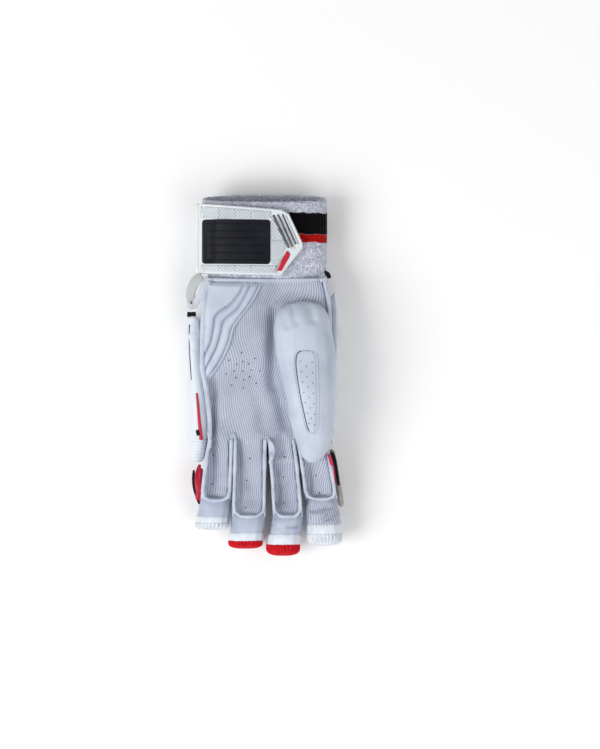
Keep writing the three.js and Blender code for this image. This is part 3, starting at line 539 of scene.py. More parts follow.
palmLook = {
    "voxel": 0.8, "rounds": 6, "levelRounds": 20, "grain": 0.45, "grainSize": 9.0, "foldDepth": 1.25,
    "tuck": 1.3, "tuckBelow": 66.0,
    # Folds of the palm: from and to, width and height in millimetres
    "folds": [
        {"from": (-39, -2), "to": (-40.5, -90), "width": 3.8, "height": -4.4},
        {"from": (-29, -14), "to": (-30, -80), "width": 5.0, "height": 1.2},
        {"from": (-14, -2), "to": (-12, -44), "width": 5.0, "height": 1.2},
        {"from": (-3, -22), "to": (0, -42), "width": 5.0, "height": -1.4},
        {"from": (-20, -50), "to": (-19.5, -98), "width": 3.2, "height": -3.6},
        {"from": (-15, -68), "to": (-13, -84), "width": 3.0, "height": -1.0},
        {"from": (6.0, 48), "to": (5, -8), "width": 4.6, "height": -4.4},
        {"from": (-9, -76), "to": (-9, -96), "width": 6.5, "height": -1.8},
        {"from": (14, -78), "to": (15, -96), "width": 6.0, "height": -1.6},
        {"from": (-32, -70), "to": (-32, -84), "width": 6.0, "height": -1.2},
        {"from": (7, -4), "to": (17, -44), "width": 5.0, "height": -2.6},
        {"from": (11.5, -44), "to": (12.5, -60), "width": 3.2, "height": -2.2},
        {"from": (7.5, -68), "to": (9.5, -99), "width": 3.2, "height": -3.6},
        {"from": (31, -66), "to": (33, -88), "width": 3.0, "height": -2.8},
        {"from": (-9, -20), "to": (-8, -48), "width": 5.0, "height": 0.8},
        {"from": (-14, 60), "to": (-2, 22), "width": 5.0, "height": 0.5},
        {"from": (12, 66), "to": (2, 52), "width": 5.0, "height": -0.9},
        {"from": (8, 53), "to": (24, 62), "width": 2.0, "height": -1.0},
    ],
    # The skin laps over itself across the middle finger
    "lap": {"y": -65.5, "left": 2, "right": 26, "height": 1.8, "fade": 8.0, "edge": 0.7},
}


def foldedBy(points, folds):
    # How far folds raise each point: a ridge or a valley along a line, faded out at its ends.
    rise = np.zeros(len(points))
    for fold in folds:
        start, end = np.array(fold["from"], float), np.array(fold["to"], float)
        way = end - start
        length = np.linalg.norm(way)
        along = ((points[:, :2] - start) @ way) / length ** 2
        off = np.linalg.norm(points[:, :2] - start - np.clip(along, 0, 1)[:, None] * way, axis=1)
        ends = np.clip(np.minimum(along + 0.15, 1.15 - along) / 0.3, 0, 1)
        rise += fold["height"] * np.exp(-(off / fold["width"]) ** 2) * ends
    return rise


def palmSkin():
    look = palmLook
    mesh = remeshed(solidMesh("palm_leather"), look["voxel"], look["rounds"])
    smoothed(mesh, look["levelRounds"], onlyHeights=True)
    points = places(mesh)
    facing = normals(mesh)
    # The sheet's edges reach out under the pipings
    sideways = np.clip((0.75 - np.abs(facing[:, 2])) / 0.5, 0, 1) * (points[:, 1] < look["tuckBelow"])
    points[:, :2] += facing[:, :2] * (look["tuck"] * sideways)[:, None]
    points[:, 2] += look["foldDepth"] * foldedBy(points, look["folds"])
    lap = look["lap"]
    inside = (points[:, 0] > lap["left"]) & (points[:, 0] < lap["right"])
    past = points[:, 1] - lap["y"]
    step = 1 / (1 + np.exp(-past / (0.3 * lap["edge"]))) * np.exp(-np.maximum(past, 0) / lap["fade"])
    points[:, 2] += np.where(inside, lap["height"] * step, 0)
    points[:, 2] += look["grain"] * wander(points, look["grainSize"])
    moveTo(mesh, points)
    return mesh


palmMesh = palmSkin()
palmTree = treeOf(palmMesh)
print("palm skin shaped:", len(palmMesh.polygons), "faces")

# Vent holes, punched through the palm and the finger fronts
ventLook = {
    "radius": 0.52, "depth": 1.6, "sides": 10, "sunk": 0.25, "cut": 4.8, "plugGap": 0.02,
    "palm": [
        (-17.3, 16.5), (-26.6, 10.9), (-7.5, 12.2), (-16.3, 9.9), (-21.1, 7.8), (-12.2, 8.2), (-22.9, 2.8),
        (-16.5, 2.9), (-10.3, 3.6), (-3.9, 2.9), (-28.9, 0.7), (-21.5, -2.0), (-11.4, -1.4), (-15.8, -3.6),
        (-6.6, -6.2), (-24.7, -7.6), (-16.1, -9.6),
    ],
    "fingers": [
        (-38.5, -59.6), (-39.4, -80.7), (-11.3, -61.8), (-13.8, -78.2), (-14.4, -98.2), (14.5, -60.5),
        (13.6, -75.6), (13.6, -94.7), (37.6, -74.4), (40.0, -87.4),
    ],
}


def punched(mesh, pegs):
    # A skin with the pegs cut out of it.
    tool = bpy.data.objects.new("tool", pegs)
    scene.collection.objects.link(tool)
    cut = withModifiers(mesh, ("BOOLEAN", {"operation": "DIFFERENCE", "solver": "MANIFOLD", "object": tool}))
    bpy.data.objects.remove(tool)
    return cut


vents = onTop(palmTree, np.array(ventLook["palm"] + ventLook["fingers"]))
cutters = pegsMesh(vents, ventLook["radius"], ventLook["cut"], ventLook["sides"])
newPiece("palm_skin", punched(palmMesh, cutters), "grained", ["palm_leather"])
# Painted shade: dark plugs stand a little below the skin, so that a punched hole reads as deep.
shadePlugs = vents - np.array([0, 0, ventLook["sunk"] + 0.5 * ventLook["depth"]])
plugRadius = ventLook["radius"] - ventLook["plugGap"]
shadePlugs = pegsMesh(shadePlugs, plugRadius, ventLook["depth"], ventLook["sides"])
newPiece("vent_hole_shade", shadePlugs, "hole")
print("palm vents punched:", len(vents))

# Pieces that are only remeshed, smoothed and roughened a little: voxel, rounds, the size and height of the
# waviness, and how much a thin edge is thickened so that it lasts, in millimetres
softCopies = [
    {"name": "piping_little_side", "node": "palm_rim_little", "finish": "piping", "slot": "grained_leather",
     "voxel": 0.5, "rounds": 5, "wave": 14, "height": 0.3, "thicken": 0.35},
    {"name": "piping_thumb_side", "node": "palm_rim_thumb", "finish": "piping", "slot": "grained_leather",
     "voxel": 0.5, "rounds": 5, "wave": 14, "height": 0.3, "thicken": 0.35},
    {"name": "hand_back_shell", "node": "hand_shell", "finish": "shell", "slot": "shell_leather",
     "voxel": 1.1, "rounds": 6, "wave": 16, "height": 0.3, "thicken": 0.4},
    {"name": "thumb_leather", "node": "thumb_front", "finish": "smooth", "slot": "smooth_leather",
     "voxel": 0.9, "rounds": 10, "wave": 18, "height": 0.5, "thicken": 0.35, "folds": [
         {"from": (20, 51), "to": (23, 37), "width": 2.6, "height": -1.3},
         {"from": (27, 52), "to": (29, 36), "width": 2.6, "height": 0.6},
         {"from": (32.5, 51), "to": (36, 38), "width": 3.2, "height": -1.6},
         {"from": (42, 44), "to": (45, 30), "width": 3.0, "height": -0.7},
         {"from": (14, 44), "to": (16, 34), "width": 2.6, "height": -0.7}]},
    {"name": "thumb_underside", "node": "thumb_back", "finish": "grained", "slot": "grained_leather",
     "voxel": 0.8, "rounds": 8, "wave": 16, "height": 0.1},
    {"name": "wrist_webbing", "node": "wrist_strap", "finish": "webbing", "slot": "strap_webbing",
     "voxel": 0.85, "rounds": 4, "wave": 20, "height": 0.1},
]
for name in fingerNames:
    softCopies += [
        {"name": "finger_walls_" + name, "node": "finger_shell_" + name, "finish": "shell",
         "slot": "shell_leather", "voxel": 0.9, "rounds": 6, "wave": 12, "height": 0.25, "drop": 4.5},
        {"name": "piping_" + name, "node": "finger_rim_" + name, "finish": "piping",
         "slot": "grained_leather", "voxel": 0.5, "rounds": 6, "wave": 9, "height": 0.35, "thicken": 0.2},
        {"name": "tip_band_leather_" + name, "node": "tip_band_" + name, "finish": "padding",
         "slot": "padding_leather", "voxel": 0.6, "rounds": 12, "wave": 8, "height": 0.25, "stretch": 1.2},
    ]
copyLook = {"seed": 3.7, "held": 1.2, "heldFade": 4.0, "dropReach": 1.6, "dropTop": 12.0}
for row in softCopies:
    thicken = ("DISPLACE", {"strength": row.get("thicken", 0) * mm, "mid_level": 0.0})
    mesh = remeshed(withModifiers(solidMesh(row["node"]), thicken), row["voxel"], row["rounds"])
    points = places(mesh)
    points += normals(mesh) * (row["height"] * wander(points, row["wave"], copyLook["seed"]))[:, None]
    # Folds leave the seam's edge in place
    high = np.clip((points[:, 2] - points[:, 2].min() - copyLook["held"]) / copyLook["heldFade"], 0, 1)
    points[:, 2] += foldedBy(points, row.get("folds", [])) * high
    # A finger's walls come down to its end, under the wrap
    drop, tip = row.get("drop", 0), points[:, 1].min()
    near = np.clip(1 - (points[:, 1] - tip) / (copyLook["dropReach"] * (drop or 1)), 0, 1)
    points[:, 2] -= drop * near * (points[:, 2] > points[:, 2].max() - copyLook["dropTop"])
    middle, half = 0.5 * (points[:, 1].max() + tip), 0.5 * np.ptp(points[:, 1])
    points[:, 1] = middle + (points[:, 1] - middle) * (1 + row.get("stretch", 0) / half)
    moveTo(mesh, points)
    newPiece(row["name"], mesh, row["finish"], [row["node"]])
print("soft copies made:", len(softCopies))

# Tip wraps: leather folded round the finger ends, creased across, the index one most of all

wrapLook = {
    "voxel": 0.7, "rounds": 14, "tuckFrom": 5.0, "tuck": 4.5, "widen": 0.1, "sink": 3.4, "lower": 0.7,
    "stretch": (0.6, 1.6, 0.8), "seed": 8.1, "foldsAbove": 24.0, "foldFade": 5.0,
    "little": {"wave": 7, "height": 0.4, "finish": "wrapped"},
    "ring": {"wave": 7, "height": 0.4, "finish": "wrapped"},
    "middle": {"wave": 5, "height": 0.6, "finish": "wrapped", "folds": [
        {"from": (16, -112), "to": (26, -110.6), "width": 1.4, "height": -1.1},
        {"from": (19, -114.5), "to": (27, -114), "width": 1.6, "height": 0.6}]},
    "index": {"wave": 5.0, "height": 1.1, "finish": "grained", "folds": [
        {"from": (30, -100.4), "to": (52, -97.6), "width": 1.5, "height": -1.5},
        {"from": (38, -110.5), "to": (54, -101.6), "width": 1.7, "height": -1.7},
        {"from": (32, -104.5), "to": (45, -103.4), "width": 2.2, "height": 1.1},
        {"from": (44, -108.6), "to": (54, -107), "width": 1.5, "height": 0.9}]},
}
for name in fingerNames:
    look = {**wrapLook, **wrapLook[name]}
    mesh = remeshed(solidMesh("tip_wrap_" + name), look["voxel"], look["rounds"])
    points = places(mesh)
    # Its front edge widens and sinks on to the finger's skin
    tuck = np.clip((points[:, 1] - points[:, 1].max() + look["tuckFrom"]) / look["tuckFrom"], 0, 1)
    points[:, 1] += look["tuck"] * tuck
    middle = 0.5 * (points[:, 0].max() + points[:, 0].min())
    points[:, 0] += (points[:, 0] - middle) * look["widen"] * tuck
    points[:, 2] -= look["sink"] * tuck ** 3
    points[:, 1] -= look["lower"] * np.clip((points[:, 1].min() + 2 - points[:, 1]) / 2, 0, 1)
    creases = wander(points * np.array(look["stretch"]), look["wave"], look["seed"])
    points += normals(mesh) * (look["height"] * creases)[:, None]
    high = np.clip((points[:, 2] - look["foldsAbove"]) / look["foldFade"], 0, 1)
    points[:, 2] += foldedBy(points, look.get("folds", [])) * high
    moveTo(mesh, points)
    newPiece("tip_leather_" + name, mesh, look["finish"], ["tip_wrap_" + name])
print("tip wraps made")


# Gathered caps on the finger tips

capLook = {
    "pitch": 2.9, "pleat": 1.15, "perPleat": 8, "power": 2.6, "uneven": (0.75, 1.2), "shift": 0.3,
    "sway": 0.35,
    # Rings from the band to the pole: place along the cap, size and share of the pleats' depth
    "rings": [(0.0, 0.93, 0.1), (0.03, 0.985, 0.35), (0.2, 1.0, 0.8), (0.42, 1.0, 1.0), (0.6, 0.97, 1.0),
              (0.76, 0.89, 1.0), (0.88, 0.76, 0.9), (0.96, 0.58, 0.7), (1.0, 0.36, 0.45)],
}


def capMesh(name, seed):
    look = capLook
    low, high = (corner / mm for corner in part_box("tip_cap_" + name))
    half = ((high.x - low.x) / 2, (high.z - low.z) / 2)
    middle = ((high.x + low.x) / 2, (high.z + low.z) / 2)
    pleats = round(math.pi * (half[0] + half[1]) / look["pitch"])
    count = pleats * look["perPleat"]
    build = bmesh.new()
    rows = [bmesh.ops.create_circle(build, cap_ends=False, segments=count, radius=1.0)["verts"]]
    edges = list(build.edges)
    for _ in look["rings"][1:]:
        made = bmesh.ops.extrude_edge_only(build, edges=edges)["geom"]
        rows.append([g for g in made if isinstance(g, bmesh.types.BMVert)])
        edges = [g for g in made if isinstance(g, bmesh.types.BMEdge)]
    for _ in ("pole", "foot"):
        bmesh.ops.poke(build, faces=bmesh.ops.edgeloop_fill(build, edges=edges)["faces"])
        edges = rimOf(build)
    uneven = [draws.uniform(*look["uneven"]) for _ in range(pleats)]
    for row, (along, size, depth) in zip(rows, look["rings"]):
        for v in row:
            angle = math.atan2(v.co.y, v.co.x)
            sway = look["sway"] * along * math.sin(3 * angle + seed)
            turn = (angle / math.tau + 1) * pleats + look["shift"] * seed + sway
            wave = 0.5 + 0.5 * math.cos(math.tau * turn)
            fold = uneven[int(turn) % pleats] * look["pleat"] * depth * wave
            c, s = math.cos(angle), math.sin(angle)
            reach = (abs(c) ** look["power"] + abs(s) ** look["power"]) ** (-1 / look["power"])
            x = middle[0] + c * reach * (half[0] * size - fold)
            z = middle[1] + s * reach * (half[1] * size - fold)
            v.co = Vector((x, high.y - (high.y - low.y) * along, z)) * mm
    for v in build.verts:
        if len(v.link_edges) > 20:  # the middle of an end, which all of its ring's edges meet
            ends = [e.other_vert(v).co for e in v.link_edges]
            v.co = sum(ends, Vector()) / len(ends)
    bmesh.ops.recalc_face_normals(build, faces=build.faces)
    return meshOf(build)


for i, name in enumerate(fingerNames):
    finish, slotName = ("capRed", "cap_red") if name in ("ring", "middle") else ("capWhite", "cap_white")
    newPiece("gathered_cap_" + name, capMesh(name, i), finish, ["tip_cap_" + name])
print("caps gathered")


# Padded pieces, swollen by the cloth solver on a copy enlarged to the size of a seat pad

puffLook = {"enlarge": 30.0, "voxel": 2.4, "rounds": 2, "pressure": 5.0, "frames": 20, "shrink": 0.35,
            "stiffness": 6.0, "bending": 0.3}
boxPads = [kind + "_pad_" + str(n) for kind, count in (("knuckle", 4), ("back", 3), ("hand", 2))
           for n in range(1, count + 1)]
rolls = [name + "_" + str(n) for name in fingerNames for n in (1, 2)]
padGroups = [{"node": n, "name": "foam_" + n, "cap": 0.9, "fill": 0.9, "seam": 0.5} for n in boxPads]
padGroups += [{"node": "finger_roll_" + n, "name": "foam_roll_" + n, "cap": 0.8, "fill": 0.9, "seam": 0.5}
              for n in rolls]
padGroups += [
    {"node": "thumb_guard", "name": "foam_thumb_guard", "cap": 1.0, "fill": 0.8, "fine": True},
    {"node": "side_pad_little", "name": "foam_side_pad", "cap": 1.2, "fill": 0.7, "fine": True,
     "pleats": {"below": -46.0, "pitch": 2.3, "depth": 0.5, "lean": 0.12}},
    # The index side roll is painted in shade.
    {"node": "side_roll_index", "name": "foam_index_roll", "cap": 0.8, "fill": 0.8, "fine": True,
     "finish": "shadedSideRoll"},
    {"node": "side_strip_little", "name": "foam_side_strip", "cap": 0.6, "fill": 0.7, "fine": True,
     "finish": "redCord", "slot": "red_piping"},
    {"node": "wrist_tape", "name": "wrist_panel", "cap": 0.6, "fill": 0.6, "finish": "tape",
     "slot": "striped_tape"},
]


def swollen(groups):
    # One cloth piece for each solid, all solved together. A swell past a row's cap is cut back to it.
    look = puffLook
    for row in groups:
        voxel = look["voxel"] * (0.5 if row.get("fine") else 1)
        mesh = remeshed(solidMesh(row["node"]), voxel, look["rounds"])
        row["start"] = places(mesh) - normals(mesh) * look["shrink"]
        row["solid"] = [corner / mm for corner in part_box(row["node"])]
        moveTo(mesh, row["start"] * look["enlarge"])
        row["work"] = bpy.data.objects.new("work", mesh)
        scene.collection.objects.link(row["work"])
        cloth = row["work"].modifiers.new("cloth", "CLOTH")
        cloth.settings.use_pressure = True
        cloth.settings.uniform_pressure_force = look["pressure"]
        cloth.settings.tension_stiffness = look["stiffness"]
        cloth.settings.compression_stiffness = look["stiffness"]
        cloth.settings.bending_stiffness = look["bending"]
        cloth.settings.effector_weights.gravity = 0
        cloth.point_cache.frame_start = 1
        cloth.point_cache.frame_end = look["frames"]
    for step in range(1, look["frames"] + 1):
        scene.frame_set(step)
    seen = bpy.context.evaluated_depsgraph_get()
    swells = []
    for row in groups:
        work = row["work"]
        moved = places(work.evaluated_get(seen).to_mesh()) / look["enlarge"] - row["start"]
        work.evaluated_get(seen).to_mesh_clear()
        far = np.linalg.norm(moved, axis=1)
        swells.append(float(far.mean()))
        moved *= np.minimum(1, row["cap"] / np.maximum(far, 1e-6))[:, None]
        low, high = row["solid"]
        points = row["start"] + moved
        points[:, 2] = np.clip(points[:, 2], low.z, high.z)
        mesh = work.data.copy()
        moveTo(mesh, points)
        row["mesh"] = withModifiers(mesh, ("SUBSURF", {"levels": 1, "render_levels": 1}))
        bpy.data.objects.remove(work)
    scene.frame_set(1)
    print("pads swollen by", round(min(swells), 2), "to", round(max(swells), 2), "mm")


swollen(padGroups)
padLook = {"wave": 8.0, "height": 0.2, "seed": 1.3, "seamAt": 0.3, "seamWidth": 0.7, "over": 0.2}
for row in padGroups:
    mesh = row["mesh"]
    points = places(mesh)
    out = normals(mesh)
    low, high = row["solid"]
    points += out * (padLook["height"] * wander(points, padLook["wave"], padLook["seed"]))[:, None]
    if "seam" in row:  # a welted seam runs round each pad where its face meets its side
        level = low.z + padLook["seamAt"] * (high.z - low.z)
        welt = row["seam"] * np.exp(-((points[:, 2] - level) / padLook["seamWidth"]) ** 2)
        points -= out * welt[:, None]
    if "pleats" in row:  # its end is gathered in pleats
        pleats = row["pleats"]
        inside = np.clip((pleats["below"] - points[:, 1]) / 2, 0, 1)
        turns = (points[:, 1] + pleats["lean"] * points[:, 0]) / pleats["pitch"]
        points -= out * (pleats["depth"] * inside * (0.5 + 0.5 * np.cos(math.tau * turns)))[:, None]
    points[:, 2] = np.clip(points[:, 2], max(low.z, 0), high.z + padLook["over"])
    moveTo(mesh, points)
    finish, slotName = row.get("finish", "padding"), row.get("slot", "padding_leather")
    newPiece(row["name"], mesh, finish, [row["node"]])
print("padded pieces made:", len(padGroups))


# Cuff: terry knit with two bands that are knitted flatter, with clearer ribs

cuffLook = {"voxel": 0.88, "rounds": 5, "pile": 0.42, "bandPile": 0.35, "loop": 1.7, "sag": 0.8,
            "sagSize": 26.0, "sagFade": 12.0, "rib": 0.3, "bandRib": 0.6, "plainRib": 0.15, "ribPitch": 2.2,
            "radius": 38.0, "bandLow": 98.0, "bandHigh": 120.5}


def cuffMesh():
    look = cuffLook
    mesh = remeshed(solidMesh("wrist_cuff"), look["voxel"], look["rounds"])
    points = places(mesh)
    inBand = (points[:, 1] > look["bandLow"]) & (points[:, 1] < look["bandHigh"])
    pile = look["pile"] * wander(points, look["loop"], 5.0) * np.where(inBand, look["bandPile"], 1.0)
    low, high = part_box("wrist_cuff")
    middle = (low + high) / 2 / mm
    around = np.arctan2(points[:, 2] - middle.z, points[:, 0] - middle.x) * look["radius"]
    ribs = look["rib"] * np.sin(math.tau * around / look["ribPitch"])
    ribs *= np.where(inBand, look["bandRib"], look["plainRib"])
    sag = look["sag"] * wander(points, look["sagSize"], 2.0)
    points += normals(mesh) * (pile + ribs)[:, None]
    points[:, 2] += sag * np.clip((points[:, 2] - low.z / mm) / look["sagFade"], 0, 1)
    moveTo(mesh, points)
    return mesh


newPiece("terry_cuff", cuffMesh(), "knit", ["wrist_cuff"])
print("cuff made")


# Strap plate: moulded rubber with raised herringbone ribs, a ribbed panel, stripes and a bar

plateLook = {
    "voxel": 0.5, "rounds": 2, "lowEdge": 80.5, "highEdge": 119.5, "left": -45.5, "right": 5.0,
    "step": 0.25, "soften": 5.5, "hold": 6.0, "blend": 3.0,
    # Heights of the arrow end at the low edge, and how much higher its other edge stands
    "tail": [(8, 43.58), (12, 43.47), (16, 43.3), (20, 42.95), (24, 42.45), (27.8, 41.8)], "tailRise": 0.33,
}


def plateCurves():
    # The plate bends round the wrist on smooth curves, where its solid has flat facets.
    look = plateLook
    raw = treeOf(cadNodes["strap_patch"].data)
    across = np.arange(look["left"], look["right"], look["step"])
    reach = int(3 * look["soften"] / look["step"])
    weights = np.exp(-(np.arange(-reach, reach + 1) * look["step"] / look["soften"]) ** 2)
    tailX, tailZ = np.array(look["tail"]).T
    far = np.arange(look["right"], tailX[-1], look["step"])
    curves = []
    for y, rise in ((look["lowEdge"], 0), (look["highEdge"], look["tailRise"])):
        faceted = np.array([topOf(raw, x, y, 40) for x in across])
        tail = np.interp(far, [look["right"], *tailX], [faceted[-1], *(tailZ + rise)])
        faceted = np.concatenate([faceted, tail])
        ends = np.pad(faceted, reach, mode="reflect", reflect_type="odd")
        curves.append((faceted, np.convolve(ends, weights / weights.sum(), mode="valid")))
    return np.concatenate([across, far]), curves


plateAcross, plateEdges = plateCurves()


def plateHeight(x, y, kind=1):
    # Height of the plate's face: kind 0 follows the facets, kind 1 the smooth curves.
    share = (y - plateLook["lowEdge"]) / (plateLook["highEdge"] - plateLook["lowEdge"])
    low, high = (np.interp(x, plateAcross, edge[kind]) for edge in plateEdges)
    return (1 - share) * low + share * high


mesh = remeshed(solidMesh("strap_patch"), plateLook["voxel"])
points = places(mesh)
hold = np.clip((points[:, 0] - plateLook["left"]) / plateLook["hold"], 0, 1)
points[:, 2] += hold * (plateHeight(points[:, 0], points[:, 1]) - plateHeight(points[:, 0], points[:, 1], 0))
moveTo(mesh, points)
mesh = smoothed(mesh, plateLook["rounds"])
plateTree = treeOf(mesh)
newPiece("strap_plate", mesh, "plate", ["strap_patch"])
print("strap plate shaped")


def onPlate(x, y):
    # Height of the plate's face: its made surface at the left end, its smooth curves beyond.
    share = min(max((x - plateLook["left"] - plateLook["hold"]) / plateLook["blend"], 0), 1)
    return share * float(plateHeight(x, y)) + (1 - share) * topOf(plateTree, x, y, 31)


def slabOn(outline, lift, deep, step=0.7):
    # A flat piece with a convex outline, laid on the plate with its edge chamfered.
    low, high = np.min(outline, axis=0), np.max(outline, axis=0)
    wide, tall = high - low
    middle = Vector((*(low + high) / 2, 0)) * mm
    build = gridOf(max(3, int(wide / step)), max(3, int(tall / step)))
    bmesh.ops.scale(build, verts=build.verts, vec=(wide * mm, tall * mm, 1))
    bmesh.ops.translate(build, verts=build.verts, vec=middle)
    for (x0, y0), (x1, y1) in zip(outline, outline[1:] + outline[:1]):
        bmesh.ops.bisect_plane(
            build, geom=build.verts[:] + build.edges[:] + build.faces[:], dist=1e-7,
            plane_co=Vector((x0, y0, 0)) * mm, plane_no=Vector((y1 - y0, x0 - x1, 0)), clear_outer=True,
        )
    for v in skirtOf(build):
        v.co += (v.co - middle).normalized() * plateDetail["chamfer"] * mm
        v.co.z -= deep * mm
    for v in build.verts:
        v.co.z += (onPlate(v.co.x / mm, v.co.y / mm) + lift) * mm
    return closedMesh(build)


def roundedBox(left, right, low, high, radius, lean):
    # Outline of a box with rounded corners; its top and bottom rise by lean from left to right.
    outline = []
    corners = [(right - radius, low + radius, -90), (right - radius, high - radius, 0),
               (left + radius, high - radius, 90), (left + radius, low + radius, 180)]
    for x, y, turn in corners:
        for step in range(4):
            angle = math.radians(turn + 30 * step)
            outline.append((x + radius * math.cos(angle), y + radius * math.sin(angle)
                            + lean * (x - left) / (right - left)))
    return outline


plateDetail = {
    "border": [(-49.9, 76.2), (-35.4, 75.7), (11.4, 74.4), (26.6, 93.8), (26.6, 96.8), (16.8, 117.9),
               (11.5, 120.8), (-49.9, 125.8), (-49.9, 76.2)],
    "borderRadius": 0.95, "borderSink": 0.45, "borderStep": 1.5, "chamfer": 0.25,
    "panel": {"left": -46.6, "right": 3.6, "low": 82.2, "high": 114.6, "radius": 2.2, "lean": -0.6},
    "ribs": {"count": 6, "radius": 0.55, "lift": 0.62, "margin": 3.0, "steps": 60},
    "stripes": [((6.3, 117.6), (17.6, 93.6)), ((9.5, 118.2), (20.2, 94.6)), ((12.7, 118.4), (22.6, 96.4))],
    "stripeWidth": 1.25, "bar": [(8.8, 76.8), (12.2, 76.8), (18.4, 88.6), (16.0, 91.2)],
    # How high each inlay stands over the plate, and how far its edge reaches down
    "laid": {"panel": (0.75, 1.0), "bar": (0.55, 0.7), "stripe": (0.12, 0.3)},
}


def insideSpan(outline, start, way):
    # The part of a straight line that lies inside a convex outline, as two distances.
    near, far = -1e6, 1e6
    for (x0, y0), (x1, y1) in zip(outline, outline[1:] + outline[:1]):
        out = np.array([y1 - y0, x0 - x1])
        speed, gap = out @ way, out @ (np.array([x0, y0]) - start)
        if abs(speed) > 1e-9:
            near, far = (near, min(far, gap / speed)) if speed > 0 else (max(near, gap / speed), far)
        elif gap < 0:
            return 0, 0
    return near, far


ribLook = {
    "radius": 0.45, "sink": 0.08, "pitch": 1.7, "angle": 52.0, "gap": 0.35, "ground": 0.06,
    # Fields of ribs, each a convex outline, and which way its ribs lean
    "fields": [
        {"lean": 1, "outline": [(-47.6, 115.9), (-33.8, 115.7), (-33.8, 123.6), (-47.6, 124.7)]},
        {"lean": -1, "outline": [(-33.8, 115.7), (-21.9, 115.5), (-21.9, 122.6), (-33.8, 123.6)]},
        {"lean": 1, "outline": [(-21.9, 115.5), (-10.0, 115.4), (-10.0, 121.7), (-21.9, 122.6)]},
        {"lean": -1, "outline": [(-10.0, 115.4), (4.6, 115.2), (4.6, 120.5), (-10.0, 121.7)]},
        {"lean": 1, "outline": [(-47.6, 77.4), (-33.8, 76.9), (-33.8, 81.2), (-47.6, 81.4)]},
        {"lean": -1, "outline": [(-33.8, 76.9), (-21.9, 76.5), (-21.9, 81.0), (-33.8, 81.2)]},
        {"lean": 1, "outline": [(-21.9, 76.5), (-10.0, 76.2), (-10.0, 80.9), (-21.9, 81.0)]},
        {"lean": -1, "outline": [(-10.0, 76.2), (7.0, 75.8), (8.6, 80.9), (-10.0, 80.9)]},
        {"lean": -1, "outline": [(4.6, 99.3), (13.6, 99.3), (5.2, 116.9), (4.6, 116.9)]},
        {"lean": 1, "outline": [(4.6, 81.6), (9.4, 81.6), (15.2, 92.2), (13.7, 99.1), (4.6, 99.1)]},
        {"lean": 1, "outline": [(24.0, 95.9), (25.3, 96.6), (15.9, 117.2), (14.4, 117.9)]},
    ],
}


def plateRibs():
    look = ribLook
    ribs = []
    for field in look["fields"]:
        outline = field["outline"]
        angle = math.radians(90 - field["lean"] * (90 - look["angle"]))
        way = np.array([math.cos(angle), math.sin(angle)])
        aside = np.array([-math.sin(angle), math.cos(angle)])
        reach = [np.array(corner) @ aside for corner in outline]
        for off in np.arange(min(reach) + 0.5, max(reach) - 0.3, look["pitch"]):
            near, far = insideSpan(outline, aside * off, way)
            room = far - near - 2 * look["gap"]
            if room < 1:
                continue
            line = [aside * off + way * (near + look["gap"] + room * t) for t in np.linspace(0, 1, 5)]
            points = [(x, y, onPlate(x, y) - look["sink"]) for x, y in line]
            ribs.append(pipeMesh(points, look["radius"], 0.3, 1))
    return joinedMesh(ribs)


def panelRibs(panel, look):
    ribs = []
    for i in range(look["count"]):
        height = panel["low"] + (panel["high"] - panel["low"]) * (i + 0.5) / look["count"]
        points = []
        for x in np.linspace(panel["left"] + look["margin"], panel["right"] - look["margin"], look["steps"]):
            y = height + panel["lean"] * (x - panel["left"]) / 50
            points.append((x, y, onPlate(x, y) + look["lift"]))
        ribs.append(pipeMesh(points, look["radius"], 0.4, 2))
    return joinedMesh(ribs)


def plateDetails():
    look, laid = plateDetail, plateDetail["laid"]
    path = []
    for (x0, y0), (x1, y1) in zip(look["border"], look["border"][1:]):
        count = max(2, int(math.hypot(x1 - x0, y1 - y0) / look["borderStep"]))
        path += [(x0 + (x1 - x0) * i / count, y0 + (y1 - y0) * i / count) for i in range(count)]
    path.append(look["border"][-1])
    points = [(x, y, onPlate(x, y) - look["borderSink"]) for x, y in path]
    newPiece("plate_border", pipeMesh(points, look["borderRadius"], 0, 2), "plate")
    # Painted shade: a greyer sheet laid under the rib fields stands for the shade between the ribs.
    ribShadeSheets = joinedMesh([slabOn(f["outline"], ribLook["ground"], 0.3, 1.5) for f in ribLook["fields"]])
    newPiece("rib_shade_sheet", ribShadeSheets, "field")
    newPiece("plate_ribs", plateRibs(), "plate")
    panel = slabOn(roundedBox(**look["panel"]), *laid["panel"])
    newPiece("moulded_panel", panel, "black", ["patch_panel"])
    newPiece("panel_ribs", panelRibs(look["panel"], look["ribs"]), "black")
    newPiece("moulded_bar", slabOn(look["bar"], *laid["bar"]), "red", ["patch_bar"])
    for n, ends in enumerate(look["stripes"], 1):
        top, foot = (np.array(end) for end in ends)
        way = foot - top
        side = np.array([-way[1], way[0]]) / np.linalg.norm(way) * 0.5 * look["stripeWidth"]
        outline = [tuple(corner) for corner in (top - side, foot - side, foot + side, top + side)]
        newPiece("moulded_stripe_" + str(n), slabOn(outline, *laid["stripe"]), "grey",
                 ["patch_stripe_" + str(n)])


plateDetails()
print("strap plate detailed")

# Heel pad: smooth leather puffed between its channels

